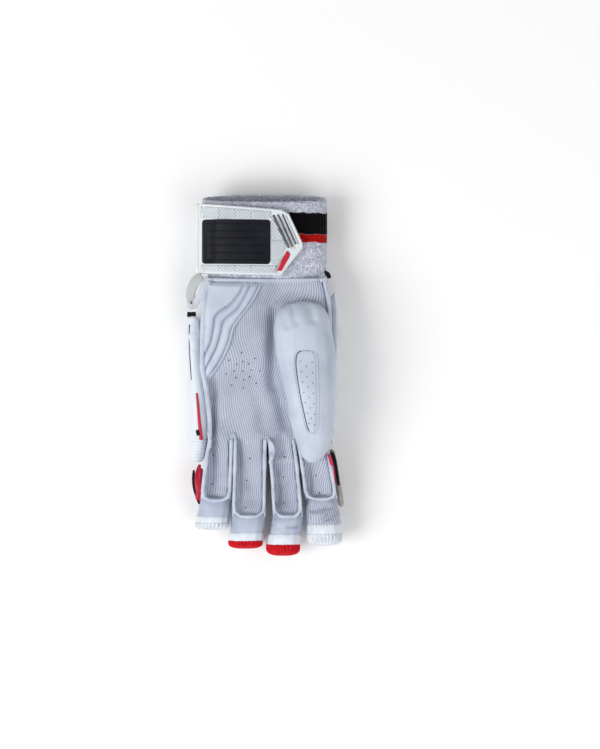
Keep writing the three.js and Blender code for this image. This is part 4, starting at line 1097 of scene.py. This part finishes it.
heelLook = {
    "wall": 3.8, "channel": 0.1, "crown": 2.4, "across": 84, "down": 110, "skirt": 0.8, "wave": 12.0,
    "height": 0.22,
    # Lines from the wrist to the point: the outer edge, two channels, the rib's channel and the inner edge
    "lines": [
        [(-42.2, 68.4), (-43.4, 62.0), (-44.6, 54.0), (-45.2, 48.6), (-45.6, 42.0), (-45.8, 36.0),
         (-46.0, 24.0), (-46.2, 15.0)],
        [(-15.3, 68.2), (-19.2, 60.2), (-25.6, 52.6), (-33.6, 47.0), (-37.0, 42.4), (-37.9, 36.2),
         (-40.4, 24.0), (-45.6, 14.0)],
        [(-10.4, 67.8), (-14.6, 59.0), (-20.4, 49.2), (-28.0, 42.7), (-31.3, 38.0), (-33.1, 30.3),
         (-36.9, 18.4), (-45.4, 3.0)],
        [(-4.0, 68.0), (-7.6, 60.0), (-14.0, 49.6), (-21.0, 40.6), (-25.0, 34.0), (-27.4, 24.6),
         (-33.8, 10.4), (-45.2, -7.0)],
        [(-1.6, 68.0), (-5.2, 60.4), (-11.4, 50.2), (-18.4, 41.2), (-22.4, 34.6), (-24.9, 25.0),
         (-31.4, 10.4), (-44.4, -8.4)],
    ],
}


def heelMesh():
    look = heelLook
    lines = [smoothLine(line, look["down"]) for line in look["lines"]]
    build = gridOf(look["across"], look["down"])
    for v in build.verts:
        share, along = v.co.x + 0.5, 0.5 - v.co.y
        row = min(int(round(along * look["down"])), look["down"])
        edges = [line[row] for line in lines]
        widths = [np.linalg.norm(b - a) for a, b in zip(edges, edges[1:])]
        far = share * sum(widths)
        band = 0
        while band < 3 and far > widths[band]:
            far -= widths[band]
            band += 1
        width = max(widths[band], 0.01)
        t = min(far / width, 1)
        x, y = edges[band] * (1 - t) + edges[band + 1] * t
        # A wide field is flat on top, a narrow one is round
        swell = math.sin(math.pi * t) ** 0.7
        if width > 5:
            swell = 1 - math.exp(-min(t, 1 - t) * width / (0.42 * look["crown"]))
        size = min(1, 0.35 + width / 8)
        ends = min(1, 0.3 + 10 * min(along, 1 - along))
        lift = ends * (look["channel"] + (look["wall"] - look["channel"]) * size * swell)
        v.co = Vector((x, y, topOf(palmTree, x, y, 38) + lift)) * mm
    for v in skirtOf(build):
        v.co.z -= (look["skirt"] + look["channel"]) * mm
    mesh = closedMesh(build)
    points = places(mesh)
    points[:, 2] += look["height"] * wander(points, look["wave"], 4.0)
    moveTo(mesh, points)
    return mesh


newPiece("heel_leather", heelMesh(), "smooth", ["heel_pad"])
print("heel pad made")


# Grip patch on the thumb, set in with a seam and a row of stitches

gripLook = {
    "across": 30, "down": 90, "rise": 0.9, "edge": 1.1, "wrap": 0.15, "skirt": 0.7,
    # From the top to the tip: middle, place along the thumb and half width in millimetres
    "rows": [(30.2, 18.0, 1.5), (30.2, 16.6, 5.0), (30.2, 13.0, 7.0), (30.5, 4.0, 7.3), (32.0, -14.0, 6.1),
             (33.6, -29.0, 4.5), (34.3, -36.5, 3.4), (34.5, -40.2, 2.3), (34.5, -42.0, 0.8)],
    # Three staggered columns of holes, as shares of the width, and their pitch
    "columns": [(-0.55, 0.0), (0.0, 0.5), (0.58, 0.1)], "pitch": 7.6, "top": 10.0, "bottom": -38.0,
    "hole": 0.42, "holeDepth": 1.0, "holeSunk": 0.42, "holeSides": 10,
}
thumbTree = treeOf(bpy.data.objects["thumb_leather"].data)
gripRows = smoothLine(gripLook["rows"], gripLook["down"])


def gripMesh():
    look = gripLook
    build = gridOf(look["across"], look["down"])
    for v in build.verts:
        side = 2 * v.co.x
        x0, y, half = gripRows[min(int(round((0.5 - v.co.y) * look["down"])), look["down"])]
        x = x0 + half * side
        ends = min(abs(y - gripRows[0][1]), abs(y - gripRows[-1][1]))
        near = min(half * (1 - abs(side)), ends)
        lift = look["rise"] * (1 - math.exp(-near / (0.5 * look["edge"]))) - look["wrap"]
        v.co = Vector((x, y, topOf(thumbTree, x, y, 57) + lift)) * mm
    for v in skirtOf(build):
        v.co.z -= look["skirt"] * mm
    return closedMesh(build)


mesh = gripMesh()
gripTree = treeOf(mesh)
newPiece("thumb_grip", mesh, "smooth", ["thumb_patch"])
gripHoles = []
for share, shift in gripLook["columns"]:
    y = gripLook["top"] - shift * gripLook["pitch"]
    while y > gripLook["bottom"]:
        x0, _, half = gripRows[np.abs(gripRows[:, 1] - y).argmin()]
        gripHoles.append((x0 + share * half, y))
        y -= gripLook["pitch"]
# Painted shade: dark plugs sunk in the patch stand for the shade in its holes.
spots = onTop(gripTree, np.array(gripHoles), -gripLook["holeSunk"])
shadePlugs = pegsMesh(spots, gripLook["hole"], gripLook["holeDepth"], gripLook["holeSides"])
newPiece("grip_hole_shade", shadePlugs, "hole")
print("thumb grip made:", len(gripHoles), "holes")


# Stitches: short thread loops laid on the leather

stitchLook = {
    "sides": 6, "rings": 4,
    "grip": {"length": 0.9, "pitch": 1.6, "radius": 0.22, "out": 1.6},
    "binding": {"length": 1.0, "pitch": 2.0, "radius": 0.2, "below": -0.9, "lift": 0.3},
}


def stitches(name, line, tree, look):
    # Thread along a line, at the height of a surface or, where no tree is given, of the line.
    steps = np.linalg.norm(np.diff(line, axis=0), axis=1)
    travelled = np.concatenate([[0], np.cumsum(steps)])
    build = bmesh.new()
    for start in np.arange(0.4 * look["pitch"], travelled[-1] - look["length"], look["pitch"]):
        ends = []
        for far in (start, start + look["length"]):
            p = [np.interp(far, travelled, line[:, k]) for k in range(line.shape[1])]
            z = p[2] if tree is None else topOf(tree, p[0], p[1])
            ends.append(Vector((p[0], p[1], z + 0.5 * look["radius"])) * mm)
        way = ends[1] - ends[0]
        turned = way.to_track_quat("X", "Z").to_matrix().to_4x4()
        place = Matrix.Translation(0.5 * (ends[0] + ends[1])) @ turned
        size = Matrix.Diagonal((0.5 * way.length, look["radius"] * mm, look["radius"] * mm, 1))
        bmesh.ops.create_uvsphere(build, u_segments=stitchLook["sides"], v_segments=stitchLook["rings"],
                                  radius=1, matrix=place @ size)
    newPiece(name, meshOf(build), "darkThread")


def roundGrip(shift):
    # A line round the patch, at a distance from it, from one upper corner over its tip to the other.
    left = [(x - half - shift, y) for x, y, half in gripRows[4:-5:6]]
    right = [(x + half + shift, y) for x, y, half in gripRows[4:-5:6]]
    x, y, _ = gripRows[-1]
    return smoothLine(left + [(x - 1.6, y - 0.4 * shift), (x + 1.6, y - 0.4 * shift)] + right[::-1], 260)


look = stitchLook["grip"]
stitches("grip_stitches", roundGrip(look["out"]), thumbTree, look)

# The patch is set in along its left side, where the seam opens to a dark line
seamLook = {"from": 5, "to": 90, "out": 0.25, "radius": 0.38, "lift": -0.02}
seam = [(x - half - seamLook["out"], y) for x, y, half in gripRows[seamLook["from"]:seamLook["to"]]]
arch = [(x + half * side, y + 0.2) for side in (1, 0.6, 0.1) for x, y, half in gripRows[4:5]]
line = onTop(thumbTree, smoothLine((arch + seam)[::4], 160), seamLook["lift"])
newPiece("grip_seam", pipeMesh(line, seamLook["radius"], 0.7, 2), "darkThread")


# Small pieces: bindings, welts, tags and piping

def ribbonMesh(line, widths, thick, tilt=0.0, crown=0.0):
    # A band of cloth along a line, tilted or crowned across it; all in millimetres.
    widths = np.broadcast_to(widths, len(line))
    way = np.gradient(line[:, :2], axis=0)
    way /= np.linalg.norm(way, axis=1)[:, None]
    build = gridOf(6, len(line) - 1)
    for v in build.verts:
        side, row = 2 * v.co.x, int(round((0.5 - v.co.y) * (len(line) - 1)))
        half = 0.5 * widths[row] * side
        x, y = line[row, 0] + way[row, 1] * half, line[row, 1] - way[row, 0] * half
        v.co = Vector((x, y, line[row, 2] + tilt * side - crown * side * side)) * mm
    bmesh.ops.recalc_face_normals(build, faces=build.faces)
    return withModifiers(meshOf(build), ("SOLIDIFY", {"thickness": thick * mm, "offset": 0}),
                         ("SUBSURF", {"levels": 1, "render_levels": 1}))


sheetNames = ["palm_skin", "piping_little_side", "piping_thumb_side", "hand_back_shell", "terry_cuff",
              "foam_side_pad", "foam_index_roll", "foam_side_strip"]
sheetNames += [part + name for name in fingerNames for part in ("piping_", "finger_walls_")]
sheetTree = treeOf(*[bpy.data.objects[name].data for name in sheetNames])

# Welts that close the forks between the fingers: line, radius at the start and at the end
weltLook = [
    {"line": [(-24.9, -50.5), (-24.6, -46.5), (-23.5, -42.6)], "radius": 1.3},
    {"line": [(-21.9, -50.5), (-22.3, -46.5), (-23.5, -42.6)], "radius": 1.3},
    {"line": [(-0.1, -50.5), (0.4, -48.0), (1.5, -45.2)], "radius": 1.4},
    {"line": [(3.4, -50.5), (2.7, -48.0), (1.5, -45.2)], "radius": 1.4},
    {"line": [(20.8, -50.5), (21.4, -47.5), (22.4, -44.8)], "radius": 1.3},
    {"line": [(25.4, -52.5), (24.4, -48.5), (22.4, -44.8)], "radius": 1.3},
    {"line": [(-41.8, -41.0), (-41.2, -46.0), (-40.6, -49.5), (-41.4, -54.5)], "radius": 1.35},
]


def weltMesh(row):
    # A welt that falls from the palm's skin at the fork to the surface under its other end.
    line = smoothLine(row["line"], 18)
    heights = [topOf(sheetTree, x, y, 36) for x, y in line]
    start, end = max(heights[:5]) - row["radius"], heights[-1] + 0.1 - 0.5 * row["radius"]
    share = np.linspace(0, 1, len(line))
    return pipeMesh(np.column_stack([line, start * (1 - share) + end * share]), row["radius"], 0.55, 4)


newPiece("fork_welts", joinedMesh([weltMesh(row) for row in weltLook]), "piping")

# Painted shade: near-black strips set low in the forks, where the two finger walls meet, stand for the shade
# there.
forkShadeLook = {
    "lines": [[(-23.4, -43.6), (-23.4, -56)], [(1.6, -46.5), (1.7, -60)], [(22.9, -46.5), (23.6, -60)]],
    "width": 1.5, "lift": -1.4, "thick": 0.6,
}
forks = []
for ends in forkShadeLook["lines"]:
    line = smoothLine(ends, 12)
    z = np.full(len(line), min(topOf(sheetTree, x, y, 34) for x, y in line[:3]) + forkShadeLook["lift"])
    forks.append(ribbonMesh(np.column_stack([line, z]), forkShadeLook["width"], forkShadeLook["thick"]))
newPiece("fork_shade_strips", joinedMesh(forks), "hole")

# Binding where the palm is sewn to the cuff
bindingLook = {"line": [(-43.6, 69.9), (0, 69.4), (45.0, 69.9)], "width": 3.2, "thick": 0.7, "lift": 0.2,
               "crown": 0.35}
line = smoothLine(bindingLook["line"], 90)
heights = [max(topOf(sheetTree, x, y + dy, 0) for dy in (-1.4, 0, 1.4)) for x, y in line]
bindingLine = np.column_stack([line, evened(np.array(heights), 3) + bindingLook["lift"]])
binding = ribbonMesh(bindingLine, bindingLook["width"], bindingLook["thick"], 0, bindingLook["crown"])
newPiece("wrist_binding", binding, "smooth")
look = stitchLook["binding"]
line = bindingLine + np.array([0, look["below"], look["lift"]])
stitches("binding_stitches", line, None, look)
print("welts and binding made")

# Pull loop: tape folded over, its end sewn round an eyelet
loopLook = [
    # The left limb is drawn in the greyer webbing, as painted shade on the back ply.
    {"name": "loop_limb_left", "finish": "loop", "width": 7.4, "narrower": 1.6, "thick": 1.3, "tilt": -1.6,
     "crown": 0.5, "steps": 30, "line": [(-46.6, 73.0, 31.5), (-51.0, 70.0, 30.0), (-54.4, 64.0, 27.0),
                                         (-55.3, 57.5, 23.5), (-53.6, 51.0, 21.5)]},
    {"name": "loop_limb_right", "finish": "webbing", "width": 5.0, "narrower": 0, "thick": 1.3, "tilt": -0.6,
     "crown": 0.4, "steps": 30, "line": [(-43.6, 72.6, 32.5), (-44.6, 67.5, 32.2), (-47.3, 61.0, 29.5),
                                         (-50.6, 55.0, 25.8), (-53.4, 50.2, 22.8)]},
    {"name": "loop_end", "finish": "webbing", "width": 5.6, "narrower": 0, "thick": 1.8, "tilt": 0,
     "crown": 0.5, "steps": 10, "line": [(-55.8, 54.6, 24.0), (-54.8, 51.2, 23.4), (-53.9, 48.9, 22.9)]},
]
for row in loopLook:
    line = smoothLine(row["line"], row["steps"])
    widths = row["width"] - row["narrower"] * np.linspace(0, 1, len(line)) ** 3
    mesh = ribbonMesh(line, widths, row["thick"], row["tilt"], row["crown"])
    newPiece(row["name"], mesh, row["finish"], ["pull_loop"])
# Painted shade: a dark cone stands for the eyelet's hole.
eyelet = {"spots": [(-54.9, 53.4, 24.9)], "radius": 0.8, "topRadius": 0.6, "depth": 0.8, "sides": 14}
newPiece("loop_eyelet", pegsMesh(**eyelet), "hole")
print("pull loop made")

# Tags and trims along the edges: line, widths at its start, middle and end, height over the sheets
trimLook = [
    {"name": "side_tag", "finish": "black", "slot": "black_inlay", "lift": 0.4, "thick": 0.7,
     "widths": (3.9, 3.9, 3.9), "line": [(-58.0, 44.9), (-54.6, 44.7), (-51.4, 44.9)]},
    {"name": "strap_end_tag", "finish": "black", "slot": "black_inlay", "lift": 0.3, "thick": 1.0,
     "widths": (2.6, 3.4, 2.6), "line": [(43.6, 76.2), (46.2, 74.6), (47.6, 71.6)]},
    {"name": "little_side_piping", "finish": "redCord", "slot": "red_piping", "lift": 0.3, "thick": 1.2,
     "widths": (0.9, 1.9, 2.8), "line": [(-50.6, -13.4), (-49.6, -24.0), (-48.6, -36.0), (-47.2, -48.2)]},
    {"name": "little_side_patch", "finish": "black", "slot": "black_inlay", "lift": 0.5, "thick": 0.9,
     "widths": (2.6, 2.6, 2.6), "line": [(-50.2, -40.8), (-49.4, -44.8)]},
    {"name": "little_strip_face", "finish": "redCord", "slot": "red_piping", "lift": 0.5, "thick": 1.4,
     "widths": (1.4, 4.8, 1.6), "line": [(-48.6, -66.4), (-50.0, -74.0), (-49.6, -84.0), (-47.4, -95.0)]},
    {"name": "little_strip_edge", "finish": "black", "slot": "red_piping", "lift": 0.2, "thick": 1.4,
     "widths": (0.9, 2.4, 1.0), "line": [(-53.0, -70.5), (-53.2, -78.0), (-52.0, -86.0), (-48.9, -95.6)]},
    {"name": "side_pad_seam", "finish": "darkThread", "slot": "padding_leather", "lift": 0.12, "thick": 0.5,
     "widths": (0.5, 0.7, 0.4), "line": [(-56.2, 37.4), (-56.2, 24.0), (-55.6, 10.0), (-54.6, -4.0)]},
    {"name": "index_red_piping", "finish": "redCord", "slot": "red_piping", "lift": 0.5, "thick": 1.2,
     "widths": (1.6, 2.3, 0.9), "line": [(46.9, -58.6), (49.4, -67.0), (52.4, -80.5)]},
    {"name": "index_black_piping", "finish": "black", "slot": "black_inlay", "lift": 0.3, "thick": 1.2,
     "widths": (1.6, 2.6, 1.2), "line": [(48.9, -55.6), (51.6, -65.0), (54.4, -82.0)]},
    {"name": "folded_flap", "finish": "piping", "slot": "grained_leather", "lift": 1.3, "thick": 1.5,
     "widths": (0.8, 4.0, 0.8), "line": [(2.4, -47.2), (4.6, -52.0), (5.2, -58.5), (3.2, -65.4)]},
]
for row in trimLook:
    line = smoothLine(row["line"], 24)
    first, middle, last = row["widths"]
    share = np.linspace(0, 1, len(line))
    widths = first + (last - first) * share + (middle - 0.5 * (first + last)) * np.sin(math.pi * share)
    heights = np.array([topOf(sheetTree, x, y, 25) for x, y in line])
    line = np.column_stack([line, evened(heights, 4) + row["lift"]])
    newPiece(row["name"], ribbonMesh(line, widths, row["thick"], 0, 0.3), row["finish"])
print("trims made:", len(trimLook))


# Stage: a pale floor, a broad soft light from the left and a camera straight above

stageLook = {
    "pixel": 0.74, "frameTall": 749, "centre": (25.69, 0.28), "distance": 3000.0, "subject": 30.0,
    "sensor": 36.0, "floor": "#FFFFFF", "floorHaze": "#F6F6F8", "floorDrop": 0.2, "sky": 0.36,
    "lights": [{"name": "key", "power": 64.0, "size": 2.0, "turn": 202.0, "tilt": 46.0},
               {"name": "fill", "power": 33.0, "size": 2.4, "turn": -40.0, "tilt": 52.0}],
}


def lightAt(name, power, size, turn, tilt):
    # A square light three metres off, turned to the middle; the angles are in degrees.
    light = bpy.data.lights.new(name, "AREA")
    light.energy = power
    light.size = size
    lamp = bpy.data.objects.new(name, light)
    scene.collection.objects.link(lamp)
    turn, tilt = math.radians(turn), math.radians(tilt)
    way = Vector((math.cos(turn) * math.cos(tilt), math.sin(turn) * math.cos(tilt), math.sin(tilt)))
    lamp.location = way * 3.0
    lamp.rotation_euler = way.to_track_quat("Z", "Y").to_euler()


def stageAndCamera():
    look = stageLook
    build = bmesh.new()
    bmesh.ops.create_grid(build, x_segments=1, y_segments=1, size=6.0)
    bmesh.ops.translate(build, verts=build.verts, vec=(0, 0, -look["floorDrop"] * mm))
    material, tree, shader, place = newMaterial("pale matt board", Roughness=0.9)
    haze = addNode(tree, "ShaderNodeTexNoise", {"Vector": place, "Scale": 3.0, "Detail": 2.0})
    colour = mixColour(tree, ramp(tree, haze, 0.3, 0.9, 0.0, 0.3), look["floor"], look["floorHaze"])
    tree.links.new(colour, shader.inputs["Base Color"])
    floor = bpy.data.objects.new("floor", meshOf(build, "floor"))
    floor.data.materials.append(material)
    scene.collection.objects.link(floor)
    world = bpy.data.worlds.new("soft studio")
    world.use_nodes = True
    world.node_tree.nodes["Background"].inputs["Color"].default_value = (1, 1, 1, 1)
    world.node_tree.nodes["Background"].inputs["Strength"].default_value = look["sky"]
    scene.world = world
    for row in look["lights"]:
        lightAt(**row)
    lens = bpy.data.cameras.new("camera")
    lens.sensor_fit = "VERTICAL"
    lens.sensor_height = look["sensor"]
    lens.lens = look["sensor"] * (look["distance"] - look["subject"]) / (look["pixel"] * look["frameTall"])
    lens.clip_end = 20
    camera = bpy.data.objects.new("camera", lens)
    camera.location = Vector((*look["centre"], look["distance"])) * mm
    scene.collection.objects.link(camera)
    scene.camera = camera
    scene.view_settings.view_transform = "Standard"


stageAndCamera()
print("stage set")
